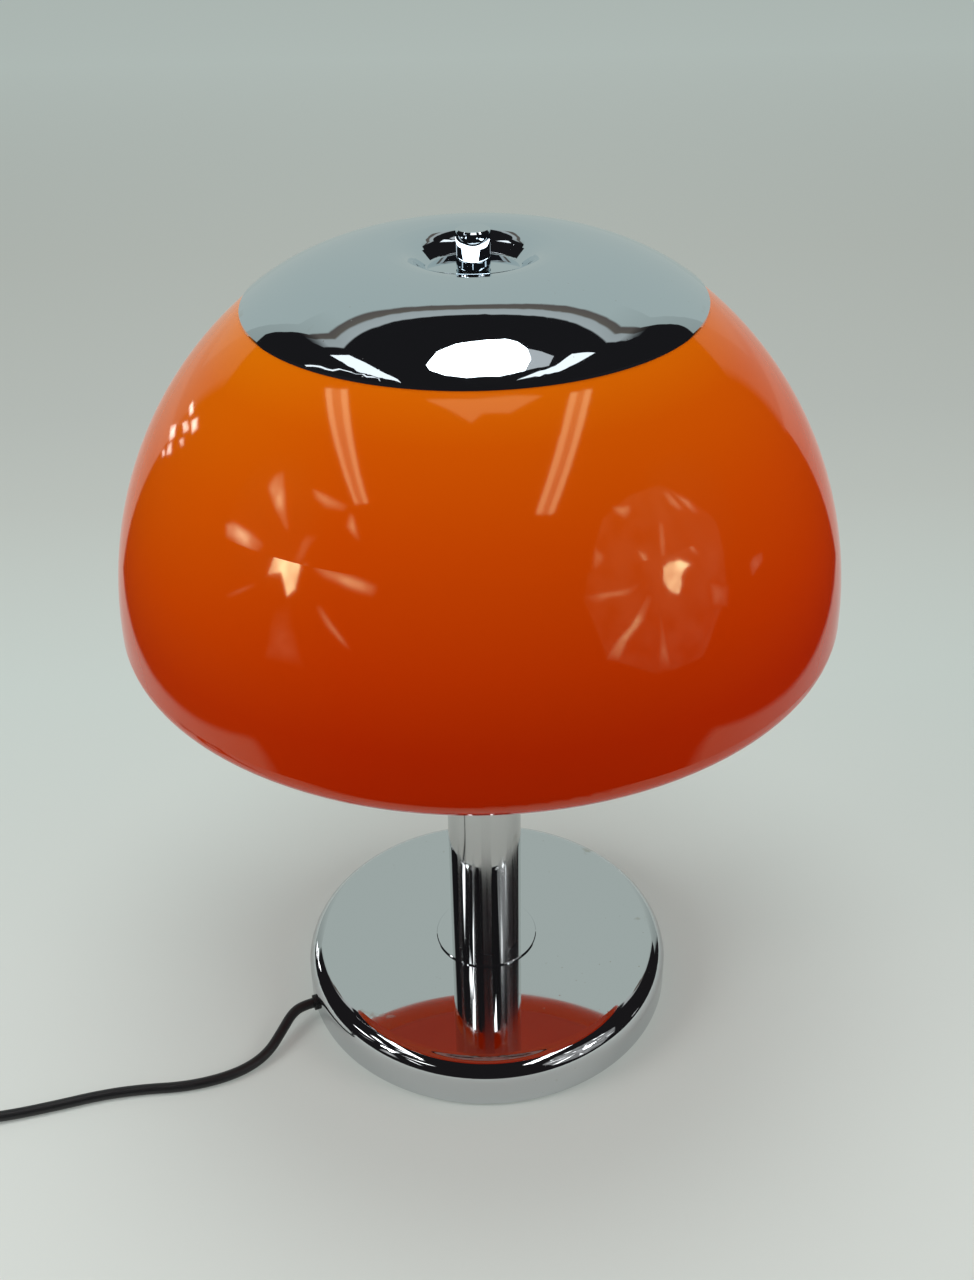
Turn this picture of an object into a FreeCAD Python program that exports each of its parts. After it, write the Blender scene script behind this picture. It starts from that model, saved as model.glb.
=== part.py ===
import FreeCAD, Part
import math
import os
import re
import Sketcher
from FreeCAD import Placement, Rotation, Vector

# A mushroom table lamp: a weighted chrome foot, a chrome stem, an orange acrylic dome and a chrome
# cap held down by a knob on the rod that runs through the whole lamp. Three bulbs stand inside.
# Millimetres, +Z up, origin at the middle of the foot where it stands on the table.
# The viewer's side is -Y and +X is to the right. The cord leaves at the left, a little forward.

doc = FreeCAD.newDocument("mushroom_lamp")

# ---------------------------------------------------------------- driving dimensions

sizes = {
    # foot
    "felt_thickness": 2.2,
    "felt_width": 17,
    "felt_margin": 2.4,
    "cover_margin": 7.2,
    "cover_thickness": 1.5,
    "base_radius": 118.6,
    "base_height": 32.5,
    "shell_wall": 1.2,
    "shell_edge": 13.3,
    "shell_tuck": 3,
    "shell_lift": 1,
    "hem_gap": 0.6,
    "weight_margin": 18.6,
    "weight_thickness": 12,
    "boss_margin": 20,
    "boss_radius": 7,
    "cover_screw_radius": 2,
    "cover_screw_length": 10,
    "screw_head_radius": 3.8,
    "screw_head_height": 1.6,
    "screw_slot": 0.9,
    # rod and its nuts
    "rod_radius": 5,
    "rod_bore": 3.5,
    "nut_flats": 14,
    "nut_thickness": 3,
    "washer_radius": 12,
    "washer_thickness": 1.5,
    "thread_end": 1,
    # mains lead inside the foot
    "cord_diameter": 6.5,
    "cord_height": 10.8,
    "grommet_radius": 5,
    "grommet_lip": 2.2,
    "grommet_neck": 4.3,
    "clamp_margin": 21,
    "clamp_width": 12,
    "clamp_length": 28,
    "clamp_bar": 2,
    "clamp_screw_radius": 1.5,
    "clamp_screw_length": 12,
    "clamp_head_radius": 2.6,
    "clamp_screw_inset": 4.5,
    "block_size": 20,
    "block_screw_radius": 1.8,
    "block_screw_inset": 3.4,
    "block_screw_length": 4,
    "block_screw_depth": 5,
    # stem
    "rosette_radius": 33.2,
    "rosette_thickness": 1.2,
    "stem_radius": 23.1,
    "stem_wall": 1.2,
    "stem_top": 285,
    "stem_plug": 7,
    "stem_lid": 2.5,
    "trim_bevel": 0.5,
    # lampholders and bulbs
    "bridge_thickness": 2,
    "bridge_hub": 17,
    "bridge_arm_width": 17,
    "bridge_overlap": 4,
    "holder_reach": 47,
    "nipple_radius": 5,
    "nipple_bore": 3.6,
    "nipple_rise": 8,
    "holder_cup_radius": 18,
    "holder_cup_height": 20,
    "holder_cup_corner": 5,
    "holder_cup_floor": 3,
    "holder_radius": 19.5,
    "holder_height": 34,
    "holder_wall": 2.5,
    "holder_round": 1,
    "thread_shell_wall": 0.5,
    "thread_shell_sink": 6,
    "core_height": 12,
    "contact_height": 1.5,
    "contact_sheet": 0.5,
    "contact_radius": 2.5,
    "contact_length": 9,
    "bulb_cap_radius": 13.1,
    "bulb_cap_length": 25,
    "bulb_cap_sheet": 0.4,
    "bulb_tip_radius": 4,
    "bulb_tip_height": 3,
    "bulb_base_radius": 8,
    "bulb_base_height": 5,
    "bulb_radius": 30,
    "bulb_length": 105,
    "bulb_neck_angle": 30,
    "glass_wall": 0.8,
    "mount_radius": 5,
    "mount_flare": 8,
    "mount_height": 20,
    "wire": 1,
    "filament_half": 11,
    "lead_radius": 1.3,
    "lead_rise": 11,
    "lead_bend": 5,
    # dome
    "belt_radius": 200,
    "belt_height": 304,
    "shoulder_radius": 211.6,
    "shoulder_angle": 28.5,
    "crown_radius": 204.1,
    "turn_radius": 14.4,
    "turn_angle": 40,
    "lip_radius": 36.4,
    "dome_wall": 3,
    "dome_mouth": 113.5,
    "lip_flat": 2.7,
    # carrier plate under the dome's mouth
    "plate_radius": 114,
    "plate_thickness": 1.5,
    "gasket_width": 5,
    "gasket_lip": 1.5,
    "vent_radius": 6,
    "vent_ring": 84,
    "spacer_radius": 8,
    # cap and knob
    "cap_radius": 118.9,
    "cap_edge": 1.5,
    "cap_wall": 1,
    "cap_rise": 24.6,
    "crest_radius": 44,
    "dimple_depth": 9.8,
    "funnel_radius": 31,
    "funnel_slope": 15,
    "dimple_bend": 15,
    "dimple_slope": 44,
    "floor_bend": 2,
    "knob_radius": 8.7,
    "knob_height": 19.3,
    "knob_bevel": 0.8,
    "knob_washer": 0.8,
    "thread_depth": 15,
    # switch on the cord
    "switch_length": 62,
    "switch_width": 26,
    "switch_height": 17,
    "switch_corner": 9,
    "switch_round": 2,
    "switch_screw_inset": 12,
    "rocker_radius": 7.5,
    "rocker_width": 11,
    "rocker_rise": 2.6,
    "rocker_pin": 1.5,
    "rocker_end": 2,
    "rocker_dip": 1.9,
    "rocker_shoulder": 0.7,
    "rocker_tilt": 8,
    # coil of put-away cord
    "coil_radius": 38,
    "coil_turns": 3,
    "coil_lift": 1.4,
    "turn_gap": 0.6,
    "link_length": 41,
    "tail_length": 44,
    "cord_straight": 13.5,
    "tie_thickness": 0.8,
    "tie_width": 10,
    # plug
    "plug_width": 35.3,
    "plug_height": 13.7,
    "plug_length": 24,
    "plug_neck": 34,
    "plug_mouth": 1.5,
    "plug_shoulder": 10,
    "plug_bevel": 3,
    "pin_radius": 2,
    "pin_length": 19,
    "pin_spacing": 18.6,
    # clearances
    "slip": 0.1,
    "seat": 0.05,
    "play": 0.3,
}

sheet = doc.addObject("Spreadsheet::Sheet", "Size")
for row, (alias, amount) in enumerate(sizes.items(), start=1):
    sheet.set(f"A{row}", alias)
    sheet.set(f"B{row}", str(amount))
    sheet.setAlias(f"B{row}", alias)
doc.recompute()

# Places and sizes that follow from the driving dimensions.
follows = {
    # foot, from the table up
    "cover_radius": "base_radius - cover_margin",
    "felt_outer": "cover_radius - felt_margin",
    "felt_inner": "felt_outer - felt_width",
    "weight_radius": "base_radius - weight_margin",
    "boss_ring": "weight_radius - boss_margin",
    "clamp_reach": "weight_radius - clamp_margin",
    "cover_top": "felt_thickness + cover_thickness",
    "shell_under": "base_height - shell_wall",
    "weight_under": "shell_under - weight_thickness",
    "hem_radius": "cover_radius + hem_gap",
    "washer_under": "weight_under - washer_thickness",
    "rod_bottom": "washer_under - nut_thickness - thread_end / 2",
    "boss_angle": "60",
    "cord_radius": "cord_diameter / 2",
    "clamp_under": "cord_height - cord_radius - seat - clamp_bar",
    "clamp_pad_under": "cord_height + cord_radius + seat",
    "block_under": "cover_top + seat",
    "block_top": "rod_bottom - play",
    # stem, from the foot up
    "stem_bottom": "base_height + rosette_thickness",
    "stem_bore": "stem_radius - stem_wall",
    "rod_hole": "rod_radius + slip",
    "bridge_under": "stem_top + stem_lid",
    "bridge_top": "bridge_under + bridge_thickness",
    # lampholders and bulbs
    "nipple_bottom": "bridge_under - nut_thickness - thread_end",
    "nipple_top": "bridge_top + nipple_rise",
    "holder_bottom": "bridge_top + holder_cup_height",
    "holder_top": "holder_bottom + holder_height",
    "thread_bore": "bulb_cap_radius + play",
    "core_top": "holder_bottom + core_height",
    "bulb_bottom": "core_top + contact_height",
    "cap_collar": "bulb_bottom + bulb_cap_length",
    "bulb_middle": "bulb_bottom + bulb_length - bulb_radius",
    "lead_level": "bridge_top + lead_rise",
    # dome
    "shoulder_x": "belt_radius - shoulder_radius",
    "crown_x": "shoulder_x + (shoulder_radius - crown_radius) * cos(shoulder_angle)",
    "crown_z": "belt_height + (shoulder_radius - crown_radius) * sin(shoulder_angle)",
    "turn_x": "belt_radius - turn_radius",
    "lip_x": "turn_x - (lip_radius - turn_radius) * cos(turn_angle)",
    "lip_z": "belt_height + (lip_radius - turn_radius) * sin(turn_angle)",
    "dome_opening": "lip_x - lip_flat",
    "dome_inside": "crown_radius - dome_wall",
    # carrier plate, hung from the dome's inner face
    "gasket_radius": "plate_radius + gasket_lip",
    "dome_at_gasket": "crown_z + sqrt(dome_inside^2 - (gasket_radius - crown_x)^2)",
    "gasket_top": "dome_at_gasket - play",
    "plate_top": "gasket_top - gasket_lip",
    "plate_under": "plate_top - plate_thickness",
    # cap
    "rim_under": "crown_z + sqrt(crown_radius^2 - (cap_radius - crown_x)^2) + play",
    "rim_inner_x": "cap_radius - cap_wall",
    "rim_inner_under": "crown_z + sqrt(crown_radius^2 - (rim_inner_x - crown_x)^2) + play",
    "rim_top": "rim_under + cap_edge",
    "cap_span": "cap_radius - crest_radius",
    "cap_arc": "(cap_span^2 + cap_rise^2) / (2 * cap_rise)",
    "crest_z": "rim_top + cap_rise",
    "cap_arc_z": "crest_z - cap_arc",
    "rim_inner_z": "cap_arc_z + sqrt((cap_arc - cap_wall)^2 - (cap_span - cap_wall)^2)",
    "dimple_floor": "crest_z - dimple_depth",
    "funnel_x": "crest_radius - funnel_radius * sin(funnel_slope)",
    "funnel_z": "crest_z - funnel_radius * (1 - cos(funnel_slope))",
    "bend_x": "funnel_x - dimple_bend * (sin(dimple_slope) - sin(funnel_slope))",
    "bend_z": "funnel_z - dimple_bend * (cos(funnel_slope) - cos(dimple_slope))",
    "foot_z": "dimple_floor + floor_bend * (1 - cos(dimple_slope))",
    "foot_x": "bend_x - (bend_z - foot_z) / tan(dimple_slope)",
    "floor_x": "foot_x - floor_bend * sin(dimple_slope)",
    "floor_under": "dimple_floor - cap_wall",
    "knob_bottom": "dimple_floor + knob_washer",
    "rod_top": "knob_bottom + thread_depth - thread_end",
    # switch, in its own frame: along +X, middle of its underside at the origin
    "switch_split": "switch_height * 0.45",
    "rocker_level": "switch_height - rocker_radius + rocker_rise",
    # plug, in its own frame: pins towards -X, cord towards +X
    "plug_level": "plug_height / 2",
}

functions = ("cos", "sin", "tan", "sqrt")


def bound(formula):
    """A formula in plain words, led back to the cells of the sheet."""

    def cell(match):
        word = match.group(0)
        if word in functions:
            return word
        if word in follows:
            return "(" + bound(follows[word]) + ")"
        return "Size." + word

    return re.sub(r"[a-z_]+", cell, formula)


def size(formula):
    """The value of a formula in millimetres or degrees."""
    return float(sheet.evalExpression(bound(formula)))


# ---------------------------------------------------------------- how pieces are drawn


def new_body(label):
    body = doc.addObject("PartDesign::Body", label)
    body.Label = label
    body.AllowCompound = True
    return body


def plane_sketch(body, plane, level="0"):
    """A sketch on one of the body's own planes, raised along its normal by a formula."""
    sketch = body.newObject("Sketcher::SketchObject", body.Label + "_sketch")
    origin_plane = [f for f in body.Origin.OriginFeatures if f.Role == plane][0]
    sketch.AttachmentSupport = (origin_plane, [""])
    sketch.MapMode = "FlatFace"
    if level != "0":
        sketch.setExpression("AttachmentOffset.Base.z", bound(level))
    return sketch


def hold(sketch, kind, name, formula, *place):
    """One dimension of the sketch, bound to its formula."""
    index = sketch.addConstraint(Sketcher.Constraint(kind, *place, size(formula)))
    sketch.renameConstraint(index, name)
    sketch.setExpression("Constraints." + name, bound(formula))


def hold_point(sketch, name, geometry, end, x, y):
    """Holds a point at x and y from the sketch's origin."""
    for kind, axis, formula in (("DistanceX", -2, x), ("DistanceY", -1, y)):
        if formula == "0":
            sketch.addConstraint(Sketcher.Constraint("PointOnObject", geometry, end, axis))
        else:
            hold(sketch, kind, name + kind[-1].lower(), formula, -1, 1, geometry, end)


def draw_outline(sketch, corners):
    """A closed outline. A corner is (x, y), or (x, y, radius, turn) where the run that ends
    there is an arc: turn is 1 where the path turns left along it and -1 where it turns right."""
    points = [Vector(size(c[0]), size(c[1]), 0) for c in corners]
    first = sketch.GeometryCount
    ends = []
    for here, corner in enumerate(corners):
        start = points[here - 1]
        stop = points[here]
        if len(corner) == 2:
            line = Part.LineSegment(start, stop)
            index = sketch.addGeometry(line, False)
            ends.append((index, 1, 2))
            continue
        radius = size(corner[2])
        turn = corner[3]
        chord = stop - start
        rise = math.sqrt(max(radius**2 - (chord.Length / 2) ** 2, 0))
        left = Vector(-chord.y, chord.x, 0).normalize()
        middle = (start + stop) * 0.5 + left * rise * turn
        low, high = (start, stop) if turn > 0 else (stop, start)
        from_angle = math.atan2(low.y - middle.y, low.x - middle.x)
        to_angle = math.atan2(high.y - middle.y, high.x - middle.x)
        circle = Part.Circle(middle, Vector(0, 0, 1), radius)
        index = sketch.addGeometry(Part.ArcOfCircle(circle, from_angle, to_angle), False)
        ends.append((index, 1, 2) if turn > 0 else (index, 2, 1))
        hold(sketch, "Radius", f"r{index}", corner[2], index)
    for here, (index, begin, finish) in enumerate(ends):
        after = ends[(here + 1) % len(ends)]
        sketch.addConstraint(Sketcher.Constraint("Coincident", index, finish, after[0], after[1]))
        hold_point(sketch, f"p{first + here}", index, finish, *corners[here][:2])


def draw_circle(sketch, radius, x="0", y="0"):
    circle = Part.Circle(Vector(size(x), size(y), 0), Vector(0, 0, 1), size(radius))
    index = sketch.addGeometry(circle, False)
    hold(sketch, "Radius", f"r{index}", radius, index)
    hold_point(sketch, f"c{index}", index, 3, x, y)


def draw_box(sketch, left, right, low, high):
    draw_outline(sketch, [(left, low), (right, low), (right, high), (left, high)])


def on_circle(x, z, radius, angle):
    """A point on a circle round x, z, at an angle from the horizontal."""
    return (f"{x} + ({radius}) * cos({angle})", f"{z} + ({radius}) * sin({angle})")


def turned(label, *outlines):
    """A piece turned about the Z axis. Each outline is a closed list of (radius, height)."""
    body = new_body(label)
    for corners in outlines:
        sketch = plane_sketch(body, "XZ_Plane")
        draw_outline(sketch, corners)
        lathe = body.newObject("PartDesign::Revolution", label + "_turned")
        lathe.Profile = sketch
        lathe.ReferenceAxis = (sketch, ["V_Axis"])
        lathe.Angle = 360
    doc.recompute()
    return body


def ring(label, inner, outer, low, high):
    """A plain turned ring or disc, from inner to outer radius."""
    return turned(label, [(inner, low), (outer, low), (outer, high), (inner, high)])


def pad(body, sketch, length, down=False):
    feature = body.newObject("PartDesign::Pad", body.Label + "_pad")
    feature.Profile = sketch
    feature.setExpression("Length", bound(length))
    feature.Reversed = down
    doc.recompute()
    return feature


def pocket(body, sketch, length, up=False):
    """Cuts a sketch into the body, and makes sure that it took something away."""
    before = body.Shape.Volume
    feature = body.newObject("PartDesign::Pocket", body.Label + "_pocket")
    feature.Profile = sketch
    feature.setExpression("Length", bound(length))
    feature.Reversed = up
    doc.recompute()
    if body.Shape.Volume > before - 1e-6:
        raise RuntimeError(body.Label + ": a pocket cuts nothing")
    return feature


def around(body, features, count):
    """Copies features evenly round the Z axis."""
    pattern = body.newObject("PartDesign::PolarPattern", body.Label + "_round")
    pattern.Originals = features
    pattern.Axis = (features[0].Profile[0], ["N_Axis"])
    pattern.Angle = 360
    pattern.Occurrences = count
    body.Tip = pattern
    doc.recompute()
    return pattern


def place(body, x="0", y="0", z="0", turn=0):
    """Sets the body down at x, y, z, turned by an angle about Z."""
    body.Placement = Placement(Vector(0, 0, 0), Rotation(Vector(0, 0, 1), turn))
    for axis, formula in (("x", x), ("y", y), ("z", z)):
        if formula != "0":
            body.setExpression("Placement.Base." + axis, bound(formula))


def own_shape(label, shape):
    """A piece whose form no sketch gives, such as a bent lead or a winding."""
    piece = doc.addObject("Part::Feature", label)
    piece.Label = label
    piece.Shape = shape
    return piece


# ---------------------------------------------------------------- foot

cord_azimuth = 199.5
holder_count = 3
holder_azimuths = [90 + 360 / holder_count * n for n in range(holder_count)]
cover_screw_count = 3


def make_base_shell():
    """Spun steel shell, rolled over at its edge and hemmed inward at the bottom."""
    shell = turned("base_shell", [
        ("rod_hole", "base_height"),
        ("base_radius - shell_edge", "base_height"),
        ("base_radius", "base_height - shell_edge", "shell_edge", -1),
        ("base_radius", "shell_lift + shell_tuck"),
        ("base_radius - shell_tuck", "shell_lift", "shell_tuck", -1),
        ("hem_radius", "shell_lift"),
        ("hem_radius", "shell_lift + shell_wall"),
        ("base_radius - shell_tuck", "shell_lift + shell_wall"),
        ("base_radius - shell_wall", "shell_lift + shell_tuck", "shell_tuck - shell_wall", 1),
        ("base_radius - shell_wall", "base_height - shell_edge"),
        ("base_radius - shell_edge", "shell_under", "shell_edge - shell_wall", 1),
        ("rod_hole", "shell_under"),
    ])
    hole = plane_sketch(shell, "YZ_Plane", "weight_radius")
    draw_circle(hole, "grommet_neck + slip", "0", "cord_height")
    pocket(shell, hole, "base_radius", up=True)
    place(shell, turn=cord_azimuth)


def make_base_weight():
    """Cast iron disc with three screw bosses and the pad that the cord clamp is screwed to."""
    weight = ring("base_weight", "rod_hole", "weight_radius", "weight_under", "shell_under - seat")
    boss = plane_sketch(weight, "XY_Plane", "weight_under")
    draw_circle(boss, "boss_radius", "boss_ring * cos(boss_angle)", "boss_ring * sin(boss_angle)")
    column = pad(weight, boss, "weight_under - cover_top - seat", down=True)
    bore = plane_sketch(weight, "XY_Plane", "cover_top")
    draw_circle(bore, "cover_screw_radius + slip",
                "boss_ring * cos(boss_angle)", "boss_ring * sin(boss_angle)")
    hole = pocket(weight, bore, "cover_screw_length", up=True)
    around(weight, [column, hole], cover_screw_count)
    clamp = plane_sketch(weight, "XY_Plane", "weight_under")
    draw_box(clamp, "clamp_reach - clamp_width / 2", "clamp_reach + clamp_width / 2",
             "0 - clamp_length / 2", "clamp_length / 2")
    pad(weight, clamp, "weight_under - clamp_pad_under", down=True)
    for side in ("clamp_length / 2 - clamp_screw_inset", "clamp_screw_inset - clamp_length / 2"):
        bore = plane_sketch(weight, "XY_Plane", "clamp_pad_under")
        draw_circle(bore, "clamp_screw_radius + slip", "clamp_reach", side)
        pocket(weight, bore, "clamp_screw_length", up=True)
    place(weight, turn=cord_azimuth)


def make_base_cover():
    """Sheet steel disc that closes the foot from below."""
    cover = ring("base_cover", "0", "cover_radius", "felt_thickness", "cover_top")
    bore = plane_sketch(cover, "XY_Plane", "felt_thickness")
    draw_circle(bore, "cover_screw_radius + slip",
                "boss_ring * cos(boss_angle)", "boss_ring * sin(boss_angle)")
    hole = pocket(cover, bore, "cover_thickness", up=True)
    around(cover, [hole], cover_screw_count)
    place(cover, turn=cord_azimuth)


def add_screw(body, head_radius, head_height, shank_radius, length, level, x, y):
    """One slotted screw, driven from below: its head hangs under level."""
    head = plane_sketch(body, "XY_Plane", level)
    draw_circle(head, head_radius, x, y)
    first = pad(body, head, head_height, down=True)
    shank = plane_sketch(body, "XY_Plane", level)
    draw_circle(shank, shank_radius, x, y)
    second = pad(body, shank, length)
    slot = plane_sketch(body, "XY_Plane", f"{level} - {head_height}")
    draw_box(slot, f"{x} - {head_radius} * 0.85", f"{x} + {head_radius} * 0.85",
             f"{y} - screw_slot / 2", f"{y} + screw_slot / 2")
    third = pocket(body, slot, f"{head_height} / 2", up=True)
    return [first, second, third]


def make_cover_screws():
    """Pan-head screws that hold the cover to the bosses of the weight."""
    screws = new_body("cover_screws")
    one = add_screw(screws, "screw_head_radius", "screw_head_height", "cover_screw_radius",
                    "cover_screw_length", "felt_thickness",
                    "boss_ring * cos(boss_angle)", "boss_ring * sin(boss_angle)")
    around(screws, one, cover_screw_count)
    place(screws, turn=cord_azimuth)


def make_cord_grommet():
    """Black rubber grommet snapped into the wall of the shell, flanged on both faces."""
    lip = "base_radius + seat"
    inside = "base_radius - shell_wall - play"
    grommet = new_body("cord_grommet")
    for radius, start, length in (
        ("grommet_radius", lip, "grommet_lip"),
        ("grommet_neck", inside, "shell_wall + play + seat"),
        ("grommet_radius", f"{inside} - grommet_lip", "grommet_lip"),
    ):
        disc = plane_sketch(grommet, "YZ_Plane", start)
        draw_circle(disc, radius, "0", "cord_height")
        pad(grommet, disc, length)
    bore = plane_sketch(grommet, "YZ_Plane", f"{inside} - grommet_lip")
    draw_circle(bore, "cord_radius + seat", "0", "cord_height")
    pocket(grommet, bore, "grommet_lip * 3 + shell_wall", up=True)
    place(grommet, turn=cord_azimuth)


def make_cord_clamp():
    """Plastic bar and two screws that pinch the lead against the weight's pad."""
    bar = new_body("clamp_bar")
    flat = plane_sketch(bar, "XY_Plane", "clamp_under")
    draw_box(flat, "clamp_reach - clamp_width / 2", "clamp_reach + clamp_width / 2",
             "0 - clamp_length / 2", "clamp_length / 2")
    pad(bar, flat, "clamp_bar")
    screws = new_body("clamp_screws")
    for side in ("clamp_length / 2 - clamp_screw_inset", "clamp_screw_inset - clamp_length / 2"):
        bore = plane_sketch(bar, "XY_Plane", "clamp_under")
        draw_circle(bore, "clamp_screw_radius + slip", "clamp_reach", side)
        pocket(bar, bore, "clamp_bar", up=True)
        add_screw(screws, "clamp_head_radius", "screw_head_height", "clamp_screw_radius",
                  "clamp_screw_length", "clamp_under", "clamp_reach", f"({side})")
    place(bar, turn=cord_azimuth)
    place(screws, turn=cord_azimuth)


def make_mains_entry():
    """The lead's stretch inside the foot, and the block where its wires are joined."""
    lead = new_body("inner_lead")
    end = plane_sketch(lead, "YZ_Plane", "block_size / 2 + seat")
    draw_circle(end, "cord_radius", "0", "cord_height")
    pad(lead, end, "base_radius + grommet_lip + seat - block_size / 2 - seat")
    place(lead, turn=cord_azimuth)
    block = new_body("terminal_block")
    flat = plane_sketch(block, "XY_Plane", "block_under")
    draw_box(flat, "0 - block_size / 2", "block_size / 2", "0 - block_size / 2", "block_size / 2")
    pad(block, flat, "block_top - block_under")
    screws = new_body("terminal_screws")
    for x in ("block_size / 4", "0 - block_size / 4"):
        for y in ("block_size / 2 - block_screw_inset", "block_screw_inset - block_size / 2"):
            bore = plane_sketch(block, "XY_Plane", "block_top - block_screw_depth")
            draw_circle(bore, "block_screw_radius + slip", x, y)
            pocket(block, bore, "block_screw_depth", up=True)
            screw = plane_sketch(screws, "XY_Plane", "block_top - block_screw_depth")
            draw_circle(screw, "block_screw_radius", x, y)
            pad(screws, screw, "block_screw_length")
    place(block, turn=cord_azimuth)
    place(screws, turn=cord_azimuth)


def make_foot():
    make_base_shell()
    make_base_weight()
    make_base_cover()
    make_cover_screws()
    ring("base_felt", "felt_inner", "felt_outer", "0", "felt_thickness")
    make_cord_grommet()
    make_cord_clamp()
    make_mains_entry()
    ring("rod_washer", "rod_hole", "washer_radius", "washer_under", "weight_under")


# ---------------------------------------------------------------- stem


def make_threaded_rod():
    """Hollow threaded rod that draws the lamp together; the bulbs' leads climb inside it."""
    rod = ring("threaded_rod", "rod_bore", "rod_radius", "rod_bottom", "rod_top")
    slot = plane_sketch(rod, "YZ_Plane", "0")
    draw_box(slot, "0 - lead_radius - play", "lead_radius + play",
             "lead_level - lead_bend - 2 * lead_radius", "lead_level + lead_radius + play")
    cut = pocket(rod, slot, "rod_radius + 1", up=True)
    pattern = body_pattern_about_z(rod, cut, holder_count)
    rod.Tip = pattern
    place(rod, turn=holder_azimuths[0])


def body_pattern_about_z(body, feature, count):
    """Copies a feature whose sketch stands upright, round the body's own Z axis."""
    axis = [f for f in body.Origin.OriginFeatures if f.Role == "Z_Axis"][0]
    pattern = body.newObject("PartDesign::PolarPattern", body.Label + "_round")
    pattern.Originals = [feature]
    pattern.Axis = (axis, [""])
    pattern.Angle = 360
    pattern.Occurrences = count
    doc.recompute()
    return pattern


def hexagon(sketch, across, x="0", y="0"):
    """A regular hexagon, its width across the flats along Y."""
    corner = "0.57735"
    draw_outline(sketch, [
        (f"{x} + {across} * {corner}", y),
        (f"{x} + {across} * {corner} / 2", f"{y} + {across} / 2"),
        (f"{x} - {across} * {corner} / 2", f"{y} + {across} / 2"),
        (f"{x} - {across} * {corner}", y),
        (f"{x} - {across} * {corner} / 2", f"{y} - {across} / 2"),
        (f"{x} + {across} * {corner} / 2", f"{y} - {across} / 2"),
    ])


def make_lock_nuts():
    """Thin hexagon nuts, all of one size: three on the rod and one under each lampholder."""
    nuts = new_body("lock_nuts")
    for level in ("washer_under - nut_thickness", "bridge_top", "plate_under - nut_thickness"):
        flat = plane_sketch(nuts, "XY_Plane", level)
        hexagon(flat, "nut_flats")
        draw_circle(flat, "rod_hole")
        pad(nuts, flat, "nut_thickness")
    flat = plane_sketch(nuts, "XY_Plane", "bridge_under - nut_thickness")
    hexagon(flat, "nut_flats", "holder_reach")
    draw_circle(flat, "nipple_radius + slip", "holder_reach")
    around(nuts, [pad(nuts, flat, "nut_thickness")], holder_count)
    place(nuts, turn=holder_azimuths[0])


def make_stem():
    make_threaded_rod()
    make_lock_nuts()
    turned("stem_rosette", [
        ("rod_hole", "base_height"),
        ("rosette_radius", "base_height"),
        ("rosette_radius", "stem_bottom - trim_bevel"),
        ("rosette_radius - trim_bevel", "stem_bottom"),
        ("rod_hole", "stem_bottom"),
    ])
    ring("stem_foot", "rod_hole", "stem_bore - slip", "stem_bottom", "stem_bottom + stem_plug")
    ring("stem_tube", "stem_bore", "stem_radius", "stem_bottom", "stem_top")
    turned("stem_head", [
        ("rod_hole", "stem_top - stem_plug"),
        ("stem_bore - slip", "stem_top - stem_plug"),
        ("stem_bore - slip", "stem_top"),
        ("stem_radius", "stem_top"),
        ("stem_radius", "bridge_under - trim_bevel"),
        ("stem_radius - trim_bevel", "bridge_under"),
        ("rod_hole", "bridge_under"),
    ])


# ---------------------------------------------------------------- lampholders and bulbs


def make_holder_bridge():
    """Three-armed steel plate that carries the lampholders."""
    bridge = ring("holder_bridge", "rod_hole", "bridge_hub", "bridge_under", "bridge_top")
    arm = plane_sketch(bridge, "XY_Plane", "bridge_under")
    draw_outline(arm, [
        ("holder_reach + bridge_arm_width / 2", "0", "bridge_arm_width / 2", 1),
        ("holder_reach", "bridge_arm_width / 2", "bridge_arm_width / 2", 1),
        ("bridge_hub - bridge_overlap", "bridge_arm_width / 2"),
        ("bridge_hub - bridge_overlap", "0 - bridge_arm_width / 2"),
        ("holder_reach", "0 - bridge_arm_width / 2"),
    ])
    strip = pad(bridge, arm, "bridge_thickness")
    bore = plane_sketch(bridge, "XY_Plane", "bridge_under")
    draw_circle(bore, "nipple_radius + slip", "holder_reach")
    hole = pocket(bridge, bore, "bridge_thickness", up=True)
    around(bridge, [strip, hole], holder_count)
    place(bridge, turn=holder_azimuths[0])


def stand(body, number):
    """Sets a piece of lampholder or bulb down at its own arm, facing outward."""
    azimuth = holder_azimuths[number - 1]
    cosine = f"{math.cos(math.radians(azimuth)):.6f}"
    sine = f"{math.sin(math.radians(azimuth)):.6f}"
    place(body, f"holder_reach * {cosine}", f"holder_reach * {sine}", "0", azimuth)


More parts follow.
